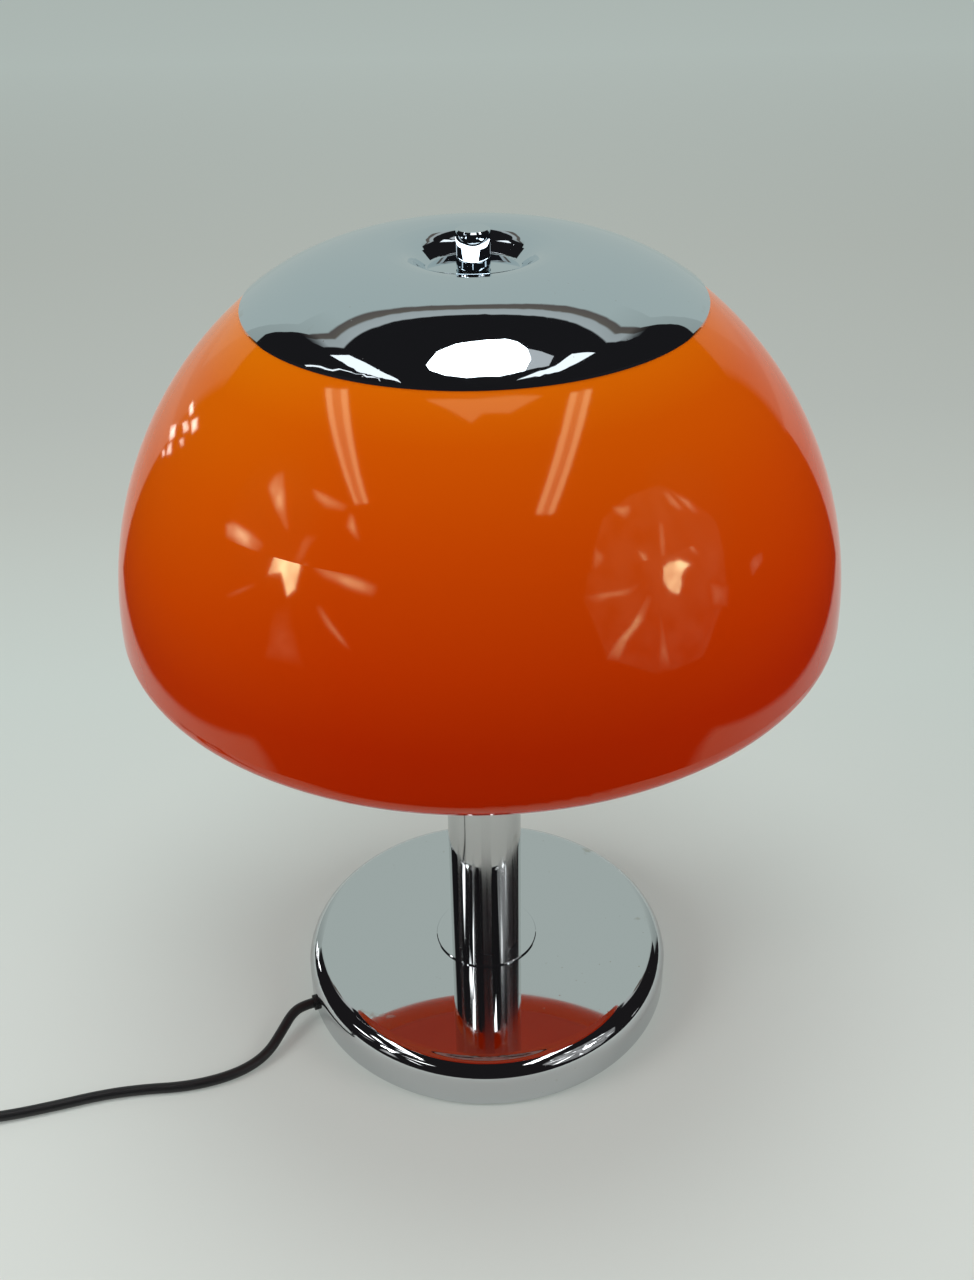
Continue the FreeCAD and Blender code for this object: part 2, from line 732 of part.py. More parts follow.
def make_holder(number):
    """A lampholder: a cup on the arm, a sleeve screwed on it and the thread shell inside."""
    cup = turned(f"holder_cup_{number}", [
        ("nipple_radius + slip", "bridge_top"),
        ("holder_cup_radius - holder_cup_corner", "bridge_top"),
        ("holder_cup_radius", "bridge_top + holder_cup_corner", "holder_cup_corner", 1),
        ("holder_cup_radius", "holder_bottom"),
        ("holder_cup_radius - holder_wall", "holder_bottom"),
        ("holder_cup_radius - holder_wall", "bridge_top + holder_cup_corner"),
        ("holder_cup_radius - holder_cup_corner", "bridge_top + holder_cup_floor"),
        ("nipple_radius + slip", "bridge_top + holder_cup_floor"),
    ])
    entry = plane_sketch(cup, "YZ_Plane", "0 - holder_cup_radius")
    draw_circle(entry, "lead_radius + play", "0", "lead_level")
    pocket(cup, entry, "holder_cup_corner", up=True)
    stand(cup, number)
    sleeve = turned(f"holder_sleeve_{number}", [
        ("holder_radius - holder_round", "holder_bottom"),
        ("holder_radius", "holder_bottom + holder_round"),
        ("holder_radius", "holder_top - holder_round"),
        ("holder_radius - holder_round", "holder_top", "holder_round", 1),
        ("thread_bore + thread_shell_wall + slip", "holder_top"),
        ("thread_bore + thread_shell_wall + slip", "holder_bottom"),
    ])
    stand(sleeve, number)
    shell = ring(f"thread_shell_{number}", "thread_bore", "thread_bore + thread_shell_wall",
                 "core_top - thread_shell_sink", "holder_top - holder_wall")
    stand(shell, number)


def make_bulb(number):
    """A pear-shaped bulb: brass cap, clear glass and the filament on its glass stem."""
    inner_tip = "bulb_bottom + bulb_tip_height + bulb_cap_sheet"
    cap = turned(f"bulb_cap_{number}", [
        ("0", "bulb_bottom"),
        ("bulb_tip_radius", "bulb_bottom"),
        ("bulb_base_radius", "bulb_bottom + bulb_tip_height"),
        ("bulb_cap_radius", "bulb_bottom + bulb_base_height"),
        ("bulb_cap_radius", "cap_collar"),
        ("bulb_cap_radius - bulb_cap_sheet", "cap_collar"),
        ("bulb_cap_radius - bulb_cap_sheet", "bulb_bottom + bulb_base_height + bulb_cap_sheet"),
        ("bulb_base_radius", inner_tip),
        ("0", inner_tip),
    ])
    stand(cap, number)
    neck = "bulb_cap_radius + play"
    inside = "bulb_radius - glass_wall"
    shoulder = on_circle("0", "bulb_middle", "bulb_radius", "0 - bulb_neck_angle")
    inner_shoulder = on_circle("0", "bulb_middle", inside, "0 - bulb_neck_angle")
    glass = turned(f"bulb_glass_{number}", [
        (neck, "cap_collar + seat"),
        (*shoulder, "bulb_radius * 1.35", -1),
        ("0", "bulb_middle + bulb_radius", "bulb_radius", 1),
        ("0", "bulb_middle + bulb_radius - glass_wall"),
        (*inner_shoulder, inside, -1),
        (f"{neck} - glass_wall", "cap_collar + seat", "bulb_radius * 1.35 + glass_wall", 1),
    ])
    stand(glass, number)
    filament = turned(f"bulb_filament_{number}", [
        ("0", inner_tip),
        ("mount_radius", inner_tip),
        ("mount_radius", "cap_collar + mount_flare"),
        ("mount_radius / 2", "cap_collar + mount_height"),
        ("0", "cap_collar + mount_height"),
    ])
    loop = plane_sketch(filament, "XZ_Plane")
    draw_outline(loop, [
        ("0 - mount_radius / 2", "cap_collar + mount_height - wire * 4"),
        ("mount_radius / 2", "cap_collar + mount_height - wire * 4"),
        ("filament_half", "bulb_middle - wire"),
        ("filament_half", "bulb_middle"),
        ("0 - filament_half", "bulb_middle"),
        ("0 - filament_half", "bulb_middle - wire"),
    ])
    pad_both_ways(filament, loop, "wire")
    window = plane_sketch(filament, "XZ_Plane", "0 - wire")
    draw_outline(window, [
        ("0 - mount_radius / 2 + wire", "cap_collar + mount_height"),
        ("mount_radius / 2 - wire", "cap_collar + mount_height"),
        ("filament_half - wire", "bulb_middle - wire"),
        ("wire - filament_half", "bulb_middle - wire"),
    ])
    pocket(filament, window, "wire * 2", up=True)
    stand(filament, number)


def pad_both_ways(body, sketch, thickness):
    feature = body.newObject("PartDesign::Pad", body.Label + "_pad")
    feature.Profile = sketch
    feature.setExpression("Length", bound(thickness))
    feature.Midplane = True
    doc.recompute()


def make_holder_cores():
    """Porcelain discs with a sprung centre contact, one in each lampholder."""
    cores = new_body("holder_cores")
    disc = plane_sketch(cores, "XY_Plane", "holder_bottom")
    draw_circle(disc, "thread_bore - slip", "holder_reach")
    around(cores, [pad(cores, disc, "core_height")], holder_count)
    place(cores, turn=holder_azimuths[0])
    contacts = new_body("centre_contacts")
    tongue = plane_sketch(contacts, "XY_Plane", "core_top")
    draw_box(tongue, "holder_reach - contact_radius", "holder_reach + contact_length",
             "0 - contact_radius", "contact_radius")
    foot = pad(contacts, tongue, "contact_sheet")
    spring = plane_sketch(contacts, "XY_Plane", "core_top + contact_sheet")
    draw_circle(spring, "contact_radius", "holder_reach")
    tip = pad(contacts, spring, "contact_height - contact_sheet - seat")
    around(contacts, [foot, tip], holder_count)
    place(contacts, turn=holder_azimuths[0])


def make_holder_nipples():
    """Short threaded tubes that fix each lampholder's cup to its arm."""
    nipples = new_body("holder_nipples")
    tube = plane_sketch(nipples, "XY_Plane", "nipple_bottom")
    draw_circle(tube, "nipple_radius", "holder_reach")
    draw_circle(tube, "nipple_bore", "holder_reach")
    around(nipples, [pad(nipples, tube, "nipple_top - nipple_bottom")], holder_count)
    place(nipples, turn=holder_azimuths[0])


def make_holder_leads():
    """Twin leads, one to each lampholder: up the rod's bore and out through its slot."""
    lead = size("lead_radius")
    inside = size("lead_radius") / math.sin(math.pi / holder_count) + size("slip / 2")
    low = size("block_top + seat")
    level = size("lead_level")
    bend = size("lead_bend")
    reach = size("holder_reach - holder_cup_radius + holder_cup_corner")
    leads = []
    for azimuth in holder_azimuths:
        start = Vector(inside, 0, low)
        below = Vector(inside, 0, level - bend)
        middle = Vector(inside + bend * (1 - math.sqrt(0.5)), 0, level - bend * (1 - math.sqrt(0.5)))
        beside = Vector(inside + bend, 0, level)
        stop = Vector(reach, 0, level)
        path = Part.Wire([
            Part.LineSegment(start, below).toShape(),
            Part.Arc(below, middle, beside).toShape(),
            Part.LineSegment(beside, stop).toShape(),
        ])
        section = Part.Wire([Part.Circle(start, Vector(0, 0, 1), lead).toShape()])
        solid = path.makePipeShell([section], True, False)
        solid.rotate(Vector(0, 0, 0), Vector(0, 0, 1), azimuth)
        leads.append(solid)
    own_shape("holder_leads", Part.makeCompound(leads))


def make_lights():
    make_holder_bridge()
    for number in range(1, holder_count + 1):
        make_holder(number)
        make_bulb(number)
    make_holder_cores()
    make_holder_nipples()
    make_holder_leads()


# ---------------------------------------------------------------- dome and its carrier


def make_dome():
    """Orange acrylic dome: two long arcs above its belt, two short ones below it."""
    crown = "crown_z + sqrt(({})^2 - (dome_mouth - crown_x)^2)"
    inner_turn = on_circle("turn_x", "belt_height", "turn_radius - dome_wall", "0 - turn_angle")
    outer_turn = on_circle("turn_x", "belt_height", "turn_radius", "0 - turn_angle")
    inner_shoulder = on_circle("shoulder_x", "belt_height", "shoulder_radius - dome_wall",
                               "shoulder_angle")
    outer_shoulder = on_circle("shoulder_x", "belt_height", "shoulder_radius", "shoulder_angle")
    turned("dome", [
        ("dome_opening", "lip_z - lip_radius"),
        ("lip_x", "lip_z - lip_radius"),
        (*outer_turn, "lip_radius", 1),
        ("belt_radius", "belt_height", "turn_radius", 1),
        (*outer_shoulder, "shoulder_radius", 1),
        ("dome_mouth", crown.format("crown_radius"), "crown_radius", 1),
        ("dome_mouth", crown.format("dome_inside")),
        (*inner_shoulder, "dome_inside", -1),
        ("belt_radius - dome_wall", "belt_height", "shoulder_radius - dome_wall", -1),
        (*inner_turn, "turn_radius - dome_wall", -1),
        ("lip_x", "lip_z - lip_radius + dome_wall", "lip_radius - dome_wall", -1),
        ("dome_opening", "lip_z - lip_radius + dome_wall"),
    ])


def make_carrier():
    """White steel plate with vent holes and a rubber edge, on which the dome hangs."""
    plate = ring("carrier_plate", "rod_hole", "plate_radius", "plate_under", "plate_top")
    vent = plane_sketch(plate, "XY_Plane", "plate_under")
    draw_circle(vent, "vent_radius", "vent_ring")
    around(plate, [pocket(plate, vent, "plate_thickness", up=True)], 12)
    inner = "plate_radius - gasket_width"
    turned("plate_gasket", [
        (inner, "plate_under - gasket_lip"),
        ("gasket_radius", "plate_under - gasket_lip"),
        ("gasket_radius", "gasket_top"),
        (inner, "gasket_top"),
        (inner, "plate_top"),
        ("plate_radius + seat", "plate_top"),
        ("plate_radius + seat", "plate_under"),
        (inner, "plate_under"),
    ])
    ring("cap_spacer", "rod_hole", "spacer_radius", "plate_top", "floor_under - seat")


# ---------------------------------------------------------------- cap and knob


def make_cap():
    """Spun chrome cap: a crowned disc that dips into a dimple with a flat floor round the knob."""
    under_bend_x = "bend_x + cap_wall * sin(dimple_slope)"
    under_bend_z = "bend_z - cap_wall * cos(dimple_slope)"
    under_funnel_x = "funnel_x + cap_wall * sin(funnel_slope)"
    under_funnel_z = "funnel_z - cap_wall * cos(funnel_slope)"
    under_foot_x = "foot_x + cap_wall * sin(dimple_slope)"
    under_foot_z = "foot_z - cap_wall * cos(dimple_slope)"
    turned("cap", [
        ("rod_hole + slip", "floor_under"),
        ("floor_x", "floor_under"),
        (under_foot_x, under_foot_z, "floor_bend + cap_wall", 1),
        (under_bend_x, under_bend_z),
        (under_funnel_x, under_funnel_z, "dimple_bend - cap_wall", -1),
        ("crest_radius", "crest_z - cap_wall", "funnel_radius - cap_wall", -1),
        ("rim_inner_x", "rim_inner_z", "cap_arc - cap_wall", -1),
        ("rim_inner_x", "rim_inner_under"),
        ("cap_radius", "rim_under"),
        ("cap_radius", "rim_top"),
        ("crest_radius", "crest_z", "cap_arc", 1),
        ("funnel_x", "funnel_z", "funnel_radius", 1),
        ("bend_x", "bend_z", "dimple_bend", 1),
        ("foot_x", "foot_z"),
        ("floor_x", "dimple_floor", "floor_bend", -1),
        ("rod_hole + slip", "dimple_floor"),
    ])


def make_knob():
    """Turned chrome knob with a blind thread, and the fibre washer it is tightened on."""
    knob_top = "knob_bottom + knob_height"
    turned("knob", [
        ("rod_hole", "knob_bottom"),
        ("knob_radius - 0.3", "knob_bottom"),
        ("knob_radius", "knob_bottom + 0.3"),
        ("knob_radius", f"{knob_top} - knob_bevel"),
        ("knob_radius - knob_bevel", knob_top),
        ("0", knob_top),
        ("0", "knob_bottom + thread_depth"),
        ("rod_hole", "knob_bottom + thread_depth"),
    ])
    ring("knob_washer", "rod_hole", "knob_radius - 1", "dimple_floor", "knob_bottom")


# ---------------------------------------------------------------- cord on the table

# Where the cord leaves the grommet, and the way it points there.
exit_way = Vector(math.cos(math.radians(cord_azimuth)), math.sin(math.radians(cord_azimuth)), 0)
exit_reach = size("base_radius + grommet_lip + seat * 2")
exit_point = exit_way * exit_reach + Vector(0, 0, size("cord_height"))

# The cord's route from the grommet to the switch, chosen by hand: it bends forward and drops to
# the table, then runs off to the left in a long shallow S.
table = size("cord_radius")
lead_route = [
    exit_point,
    exit_point + exit_way * 7.5,
    Vector(-127.4, -48.6, 9.9),
    Vector(-132.6, -60.4, 7.6),
    Vector(-139.9, -75.8, 4.6),
    Vector(-151.5, -87.0, table),
    Vector(-168.0, -95.6, table),
    Vector(-190.0, -101.3, table),
    Vector(-215.0, -102.6, table),
    Vector(-240.0, -106.4, table),
    Vector(-266.0, -113.8, table),
    Vector(-292.0, -120.3, table),
    Vector(-310.0, -123.8, table + 0.9),
    Vector(-324.5, -125.0, size("switch_height") / 2 - 0.3),
    Vector(-338.0, -125.0, size("switch_height") / 2),
]
switch_left = lead_route[-1].x - size("switch_length")
switch_middle = Vector(lead_route[-1].x - size("switch_length") / 2, lead_route[-1].y, 0)


def rounded_path(points):
    """Straight runs joined by tangent arcs, each as large as its two runs allow."""
    edges = []
    radii = []
    here = points[0]
    for before, corner, after in zip(points, points[1:], points[2:]):
        arriving = (corner - before).normalize()
        leaving = (after - corner).normalize()
        half_turn = arriving.getAngle(leaving) / 2
        trim = 0.45 * min((corner - before).Length, (after - corner).Length)
        radius = trim / math.tan(half_turn)
        start = corner - arriving * trim
        stop = corner + leaving * trim
        inward = (leaving - arriving).normalize()
        middle = corner + inward * radius * (1 / math.cos(half_turn) - 1)
        edges.append(Part.LineSegment(here, start).toShape())
        edges.append(Part.Arc(start, middle, stop).toShape())
        radii.append(radius)
        here = stop
    edges.append(Part.LineSegment(here, points[-1]).toShape())
    return Part.Wire(edges), radii


def make_tube(label, points):
    """A free stretch of cord along a hand-chosen route."""
    path, radii = rounded_path(points)
    radius = size("cord_radius")
    way = (points[1] - points[0]).normalize()
    section = Part.Wire([Part.Circle(points[0], way, radius).toShape()])
    tube = path.makePipeShell([section], True, False)
    share = tube.Volume / (math.pi * radius**2 * path.Length)
    print(f"{label}: {path.Length:.1f} mm long, volume {share:.4f} of section times length,")
    print("  radii", " ".join(f"{r:.0f}" for r in radii))
    own_shape(label, tube)
    return path.Length


def make_switch():
    """In-line switch: two half shells screwed together and a rocker that tips between them."""
    x = f"{switch_middle.x:.3f}".replace("-", "0 - ")
    y = f"{switch_middle.y:.3f}".replace("-", "0 - ")
    half = "switch_length / 2"
    width = "switch_width / 2"
    corner = "switch_corner"
    shape = [
        (f"{half} - {corner}", f"0 - {width}"),
        (half, f"{corner} - {width}", corner, 1),
        (half, f"{width} - {corner}"),
        (f"{half} - {corner}", width, corner, 1),
        (f"{corner} - {half}", width),
        (f"0 - {half}", f"{width} - {corner}", corner, 1),
        (f"0 - {half}", f"{corner} - {width}"),
        (f"{corner} - {half}", f"0 - {width}", corner, 1),
    ]
    screw_x = "switch_length / 2 - switch_screw_inset"
    for label, low, high in (
        ("switch_base", "0", "switch_split"),
        ("switch_cover", "switch_split", "switch_height"),
    ):
        body = new_body(label)
        outline = plane_sketch(body, "XY_Plane", low)
        draw_outline(outline, shape)
        block = pad(body, outline, f"{high} - ({low})")
        rim = [
            f"Edge{n}" for n, edge in enumerate(body.Shape.Edges, start=1)
            if abs(edge.CenterOfMass.z - size("switch_height" if low != "0" else "0")) < 0.01
        ]
        round_off = body.newObject("PartDesign::Fillet", label + "_fillet")
        round_off.Base = (block, rim)
        round_off.setExpression("Radius", bound("switch_round"))
        doc.recompute()
        wells = [("rocker_radius + play", "rocker_width + 2 * play")]
        if label == "switch_cover":
            wells.append(("rocker_pin + slip", "rocker_width + 2 * rocker_end + 2 * play"))
        for radius, thickness in wells:
            well = plane_sketch(body, "XZ_Plane", f"0 - ({thickness}) / 2")
            draw_circle(well, radius, "0", "rocker_level")
            pocket(body, well, thickness, up=True)
        for side in (f"{screw_x}", f"0 - ({screw_x})"):
            bore = plane_sketch(body, "XY_Plane", low)
            draw_circle(bore, "clamp_screw_radius + slip", side)
            pocket(body, bore, "switch_split", up=True)
            if low == "0":
                sink = plane_sketch(body, "XY_Plane", "0")
                draw_circle(sink, "clamp_head_radius + slip", side)
                pocket(body, sink, "screw_head_height + play", up=True)
        place(body, x, y)
    screws = new_body("switch_screws")
    for side in (f"({screw_x})", f"(0 - ({screw_x}))"):
        add_screw(screws, "clamp_head_radius", "screw_head_height", "clamp_screw_radius",
                  "switch_split", "(screw_head_height + play)", side, "0")
    place(screws, x, y)
    make_rocker(x, y)


def make_rocker(x, y):
    """A drum on a pin. Its top is two flats, and it rests tipped towards the lamp."""
    rocker = new_body("switch_rocker")
    drum = plane_sketch(rocker, "XZ_Plane", "0 - rocker_width / 2")
    draw_circle(drum, "rocker_radius")
    pad(rocker, drum, "rocker_width")
    axle = plane_sketch(rocker, "XZ_Plane", "0 - rocker_width / 2 - rocker_end")
    draw_circle(axle, "rocker_pin")
    pad(rocker, axle, "rocker_width + 2 * rocker_end")
    notch = plane_sketch(rocker, "XZ_Plane", "0 - rocker_width / 2")
    draw_outline(notch, [
        ("0", "rocker_radius - rocker_dip"),
        ("rocker_radius", "rocker_radius - rocker_shoulder"),
        ("rocker_radius", "rocker_radius"),
        ("0 - rocker_radius", "rocker_radius"),
        ("0 - rocker_radius", "rocker_radius - rocker_shoulder"),
    ])
    pocket(rocker, notch, "rocker_width", up=True)
    place(rocker, x, y, "rocker_level")
    tip = Rotation(Vector(0, 1, 0), size("rocker_tilt"))
    rocker.Placement = Placement(rocker.Placement.Base, tip)
    rocker.setExpression("Placement.Base.x", x)
    rocker.setExpression("Placement.Base.y", y)


def biarc(p0, t0, p1, t1):
    """Two arcs from p0 to p1 that meet in one tangent, leaving along t0 and arriving along t1."""
    chord = p1 - p0
    both = t0 + t1
    a = 2 * (1 - t0.dot(t1))
    b = 2 * chord.dot(both)
    c = -chord.dot(chord)
    reach = -c / b if a < 1e-9 else (-b + math.sqrt(b * b - 4 * a * c)) / (2 * a)
    meet = (p0 + t0 * reach + p1 - t1 * reach) * 0.5
    return [arc_from(p0, t0, meet), arc_from(p1, t1 * -1, meet)]


def arc_from(start, way, stop):
    """The arc that leaves start along way and ends at stop, or a line where they agree."""
    chord = stop - start
    half_turn = way.getAngle(chord)
    if half_turn < 1e-6:
        return Part.LineSegment(start, stop).toShape()
    across = (way - chord * (way.dot(chord) / chord.dot(chord))).normalize()
    sagitta = chord.Length / 2 * math.tan(half_turn / 2)
    return Part.Arc(start, (start + stop) * 0.5 + across * sagitta, stop).toShape()


def coil_point(turn):
    """The winding's centre line: it spirals in on the table and out again one layer higher.
    turn is counted in turns from the middle, where it climbs during half a turn."""
    pitch = size("cord_diameter + turn_gap")
    swing = abs(turn) if abs(turn) > 0.25 else turn * turn / 0.5 + 0.125
    radius = size("coil_radius") + pitch * (swing - size("coil_turns") / 2)
    climb = min(max((turn + 0.25) / 0.5, 0), 1)
    height = size("coil_lift + cord_radius") + pitch * (1 - math.cos(math.pi * climb)) / 2
    angle = -2 * math.pi * (turn + size("coil_turns")) - math.pi / 2
    return Vector(radius * math.cos(angle), radius * math.sin(angle), height)


def make_coil(link_end):
    """The put-away length of cord, wound as one unbroken tube in two layers. It starts in the
    way the link points, to the left, and ends a quarter turn on, pointing away from the viewer."""
    turns = size("coil_turns")
    straight = size("cord_diameter")
    steps = round((2 * turns + 0.25) * 4)
    marks = [-turns + n / 4 for n in range(steps + 1)]
    start = link_end + Vector(-straight, 0, 0)
    middle = Vector(start.x, start.y - coil_point(marks[0]).y, 0)
    points = [middle + coil_point(m) for m in marks]
    ways = [(coil_point(m + 1e-4) - coil_point(m - 1e-4)).normalize() for m in marks]
    ways[0] = Vector(-1, 0, 0)
    ways[-1] = Vector(0, 1, 0)
    end = points[-1] + ways[-1] * straight
    edges = [Part.LineSegment(link_end, points[0]).toShape()]
    for n in range(steps):
        edges += biarc(points[n], ways[n], points[n + 1], ways[n + 1])
    edges.append(Part.LineSegment(points[-1], end).toShape())
    path = Part.Wire(edges)
    section = Part.Wire([Part.Circle(link_end, ways[0], size("cord_radius")).toShape()])
    coil = path.makePipeShell([section], True, False)
    share = coil.Volume / (math.pi * size("cord_radius") ** 2 * path.Length)
    print(f"cord_coil: {path.Length:.1f} mm long, volume {share:.4f} of section times length,")
    print(f"  least gap to itself {least_gap(path):.2f} mm")
    own_shape("cord_coil", coil)
    return middle, end, path.Length


def least_gap(path):
    """The smallest clear distance between stretches of the winding that lie a turn apart."""
    step = 2.0
    points = path.discretize(Distance=step)
    skip = round(3 * size("cord_diameter") / step)
    least = min(
        (points[a] - points[b]).Length
        for a in range(len(points))
        for b in range(a + skip, len(points))
    )
    return least - size("cord_diameter")


def make_tie(middle):
    """A flat strap closed round the whole bundle of turns, on the side away from the switch."""
    pitch = size("cord_diameter + turn_gap")
    half = pitch * (size("coil_turns") - 1) / 2 + size("cord_radius")
    width = size("tie_width")
    wall = size("tie_thickness")
    radius = size("coil_radius")
    near = math.sqrt((radius - half) ** 2 - (width / 2) ** 2) - size("play * 2")
    far = radius + half + size("play * 2")
    low = size("coil_lift - play")
    high = size("coil_lift + cord_diameter * 2 + turn_gap + play")

    def bar(grow):
        box = Part.makeBox(width, far - near + 2 * grow, high - low + 2 * grow)
        box.translate(Vector(-width / 2, near - grow, low - grow))
        along = [e for e in box.Edges if abs(e.tangentAt(0).x) > 0.9]
        return box.makeFillet(2 + grow, along)

    strap = bar(wall).cut(bar(0))
    strap.translate(middle)
    own_shape("coil_tie", strap)


def make_plug(cord_end):
    """Flat two-pin plug moulded on the cord, lying on the table beside the coil."""
    length = "plug_length"
    x = f"{cord_end.x:.3f}".replace("-", "0 - ")
    y = f"{cord_end.y:.3f}".replace("-", "0 - ")
    body = new_body("plug_body")
    flat = plane_sketch(body, "XY_Plane", "0")
    draw_outline(flat, [
        ("0", "0 - cord_radius - plug_mouth"),
        ("0", "cord_radius + plug_mouth"),
        ("plug_shoulder - plug_neck", "cord_radius + plug_mouth * 2"),
        ("0 - plug_neck", "plug_width / 2 - plug_bevel"),
        ("0 - plug_neck - plug_bevel", "plug_width / 2"),
        (f"0 - plug_neck - {length}", "plug_width / 2"),
        (f"0 - plug_neck - {length}", "0 - plug_width / 2"),
        ("0 - plug_neck - plug_bevel", "0 - plug_width / 2"),
        ("0 - plug_neck", "plug_bevel - plug_width / 2"),
        ("plug_shoulder - plug_neck", "0 - cord_radius - plug_mouth * 2"),
    ])
    pad(body, flat, "plug_height")
    place(body, x, y, turn=-90)
    pins = new_body("plug_pins")
    for side in ("pin_spacing / 2", "0 - pin_spacing / 2"):
        pin = plane_sketch(pins, "YZ_Plane", f"0 - plug_neck - {length} - pin_length")
        draw_circle(pin, "pin_radius", side, "plug_level")
        pad(pins, pin, "pin_length")
    place(pins, x, y, turn=-90)


def make_cord():
    lead = make_tube("cord_lead", lead_route)
    make_switch()
    low = size("coil_lift + cord_radius")
    switch_end = Vector(switch_left, switch_middle.y, size("switch_height") / 2)
    link_end = Vector(switch_end.x - size("link_length"), switch_end.y, low)
    straight = size("cord_straight")
    link = make_tube("cord_link", [
        switch_end,
        switch_end + Vector(-straight, 0, 0),
        link_end + Vector(straight, 0, 0),
        link_end,
    ])
    middle, coil_end, wound = make_coil(link_end)
    make_tie(middle)
    down = size("plug_level")
    tail_end = Vector(coil_end.x, coil_end.y + size("tail_length"), down)
    tail = make_tube("cord_tail", [
        coil_end,
        coil_end + Vector(0, straight, 0),
        tail_end + Vector(0, -straight, 0),
        tail_end,
    ])
    make_plug(tail_end)
    print(f"cord in all: {lead + link + wound + tail:.0f} mm, without switch and plug")


# ---------------------------------------------------------------- the whole lamp

make_foot()
make_stem()
make_lights()
make_dome()
make_carrier()
make_cap()
make_knob()
make_cord()
doc.recompute()

for thing in doc.Objects:
    if "Invalid" in thing.State or "Error" in thing.State:
        raise RuntimeError(f"{thing.Name} failed: {thing.State}")

pieces = [o for o in doc.Objects if o.TypeId in ("PartDesign::Body", "Part::Feature")]
os.makedirs("parts", exist_ok=True)
for piece in pieces:
    if piece.Shape.isNull() or not piece.Shape.isValid() or not piece.Shape.Solids:
        raise RuntimeError(f"{piece.Label} has no valid solid")
for piece in pieces:
    piece.Shape.exportStep(f"parts/{piece.Label}.step")
print(len(pieces), "pieces")
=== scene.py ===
import math

import bpy
from mathutils import Matrix, Vector


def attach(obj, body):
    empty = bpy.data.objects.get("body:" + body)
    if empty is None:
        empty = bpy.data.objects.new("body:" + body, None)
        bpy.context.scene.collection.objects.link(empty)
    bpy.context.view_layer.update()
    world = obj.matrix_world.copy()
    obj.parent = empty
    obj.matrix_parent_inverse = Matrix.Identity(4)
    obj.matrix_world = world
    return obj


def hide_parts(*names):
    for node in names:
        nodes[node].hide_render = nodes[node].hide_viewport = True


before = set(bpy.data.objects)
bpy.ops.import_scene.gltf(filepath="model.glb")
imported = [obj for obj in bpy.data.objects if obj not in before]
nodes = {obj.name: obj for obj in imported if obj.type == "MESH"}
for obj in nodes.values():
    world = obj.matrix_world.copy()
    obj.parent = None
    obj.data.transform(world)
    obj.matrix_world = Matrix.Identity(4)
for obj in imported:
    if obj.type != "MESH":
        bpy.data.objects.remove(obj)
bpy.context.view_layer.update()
scene = bpy.context.scene
scene.view_settings.view_transform = "Standard"

# ---------------------------------------------------------------- Camera
# Where the viewer stands: in front of the lamp and above it, looking down by about 32 degrees.
# The focal length and the picture's centre are in pixels of the 974 x 1280 frame.

focal_px = 1455.6
picture_width = 974
picture_height = 1280
centre_x = 476.5
centre_y = 637.0
sensor_height = 36
pitch = math.radians(32.43)
yaw = math.radians(-0.195)
roll = math.radians(1.217)
eye = Vector((0, -0.7174, 0.7222))

forward = Vector((math.sin(yaw) * math.cos(pitch), math.cos(yaw) * math.cos(pitch), -math.sin(pitch)))
level_right = Vector((math.cos(yaw), -math.sin(yaw), 0))
level_down = forward.cross(level_right)
right = level_right * math.cos(roll) + level_down * math.sin(roll)
down = -level_right * math.sin(roll) + level_down * math.cos(roll)

camera_data = bpy.data.cameras.new("Camera")
camera_data.sensor_fit = "VERTICAL"
camera_data.sensor_height = sensor_height
camera_data.lens = focal_px * sensor_height / picture_height
camera_data.shift_x = (picture_width / 2 - centre_x) / picture_height
camera_data.shift_y = (centre_y - picture_height / 2) / picture_height
camera_data.clip_end = 100
camera = bpy.data.objects.new("Camera", camera_data)
turn = Matrix((right, -down, -forward)).transposed()
camera.matrix_world = Matrix.Translation(eye) @ turn.to_4x4()
scene.collection.objects.link(camera)
scene.camera = camera


# ---------------------------------------------------------------- Cord
# Black two-core mains lead, 6.5 mm thick with a smooth round sheath. It leaves the foot at the
# left, drops to the table and runs off to the left, to a hand switch. Behind the switch it is
# wound up and tied, and it ends in a moulded plug.

cord_thickness = 0.0065
cord_level = cord_thickness / 2
cord_azimuth = math.radians(199.5)
exit_distance = 0.1209
exit_height = 0.0108
exit_way = Vector((math.cos(cord_azimuth), math.sin(cord_azimuth), 0))
cord_exit = exit_way * exit_distance + Vector((0, 0, exit_height))
lead_route = [
    cord_exit,
    cord_exit + exit_way * 0.0075,
    (-0.1274, -0.0486, 0.0099),
    (-0.1326, -0.0604, 0.0076),
    (-0.1399, -0.0758, 0.0046),
    (-0.1515, -0.0870, cord_level),
    (-0.1680, -0.0956, cord_level),
    (-0.1900, -0.1013, cord_level),
    (-0.2150, -0.1026, cord_level),
    (-0.2400, -0.1064, cord_level),
    (-0.2660, -0.1138, cord_level),
    (-0.2920, -0.1203, cord_level),
    (-0.3100, -0.1238, cord_level + 0.0009),
    (-0.3245, -0.1250, 0.0082),
    (-0.3380, -0.1250, 0.0085),
]
# From the switch to the coil and, out of its upper layer, to the plug.
switch_end = Vector((-0.4000, -0.1250, 0.0085))
coil_mouth = switch_end + Vector((-0.041, 0, 0))
coil_mouth.z = 0.00465
straight_end = 0.0135
coil_radius = 0.038
coil_turns = 3
turn_step = 0.0071


def coil_point(turn):
    """The winding spirals in on the table and out again one layer higher."""
    swing = abs(turn) if abs(turn) > 0.25 else turn * turn / 0.5 + 0.125
    radius = coil_radius + turn_step * (swing - coil_turns / 2)
    climb = min(max((turn + 0.25) / 0.5, 0), 1)
    height = turn_step * (1 - math.cos(math.pi * climb)) / 2
    angle = -2 * math.pi * (turn + coil_turns) - math.pi / 2
    return Vector((radius * math.cos(angle), radius * math.sin(angle), height))


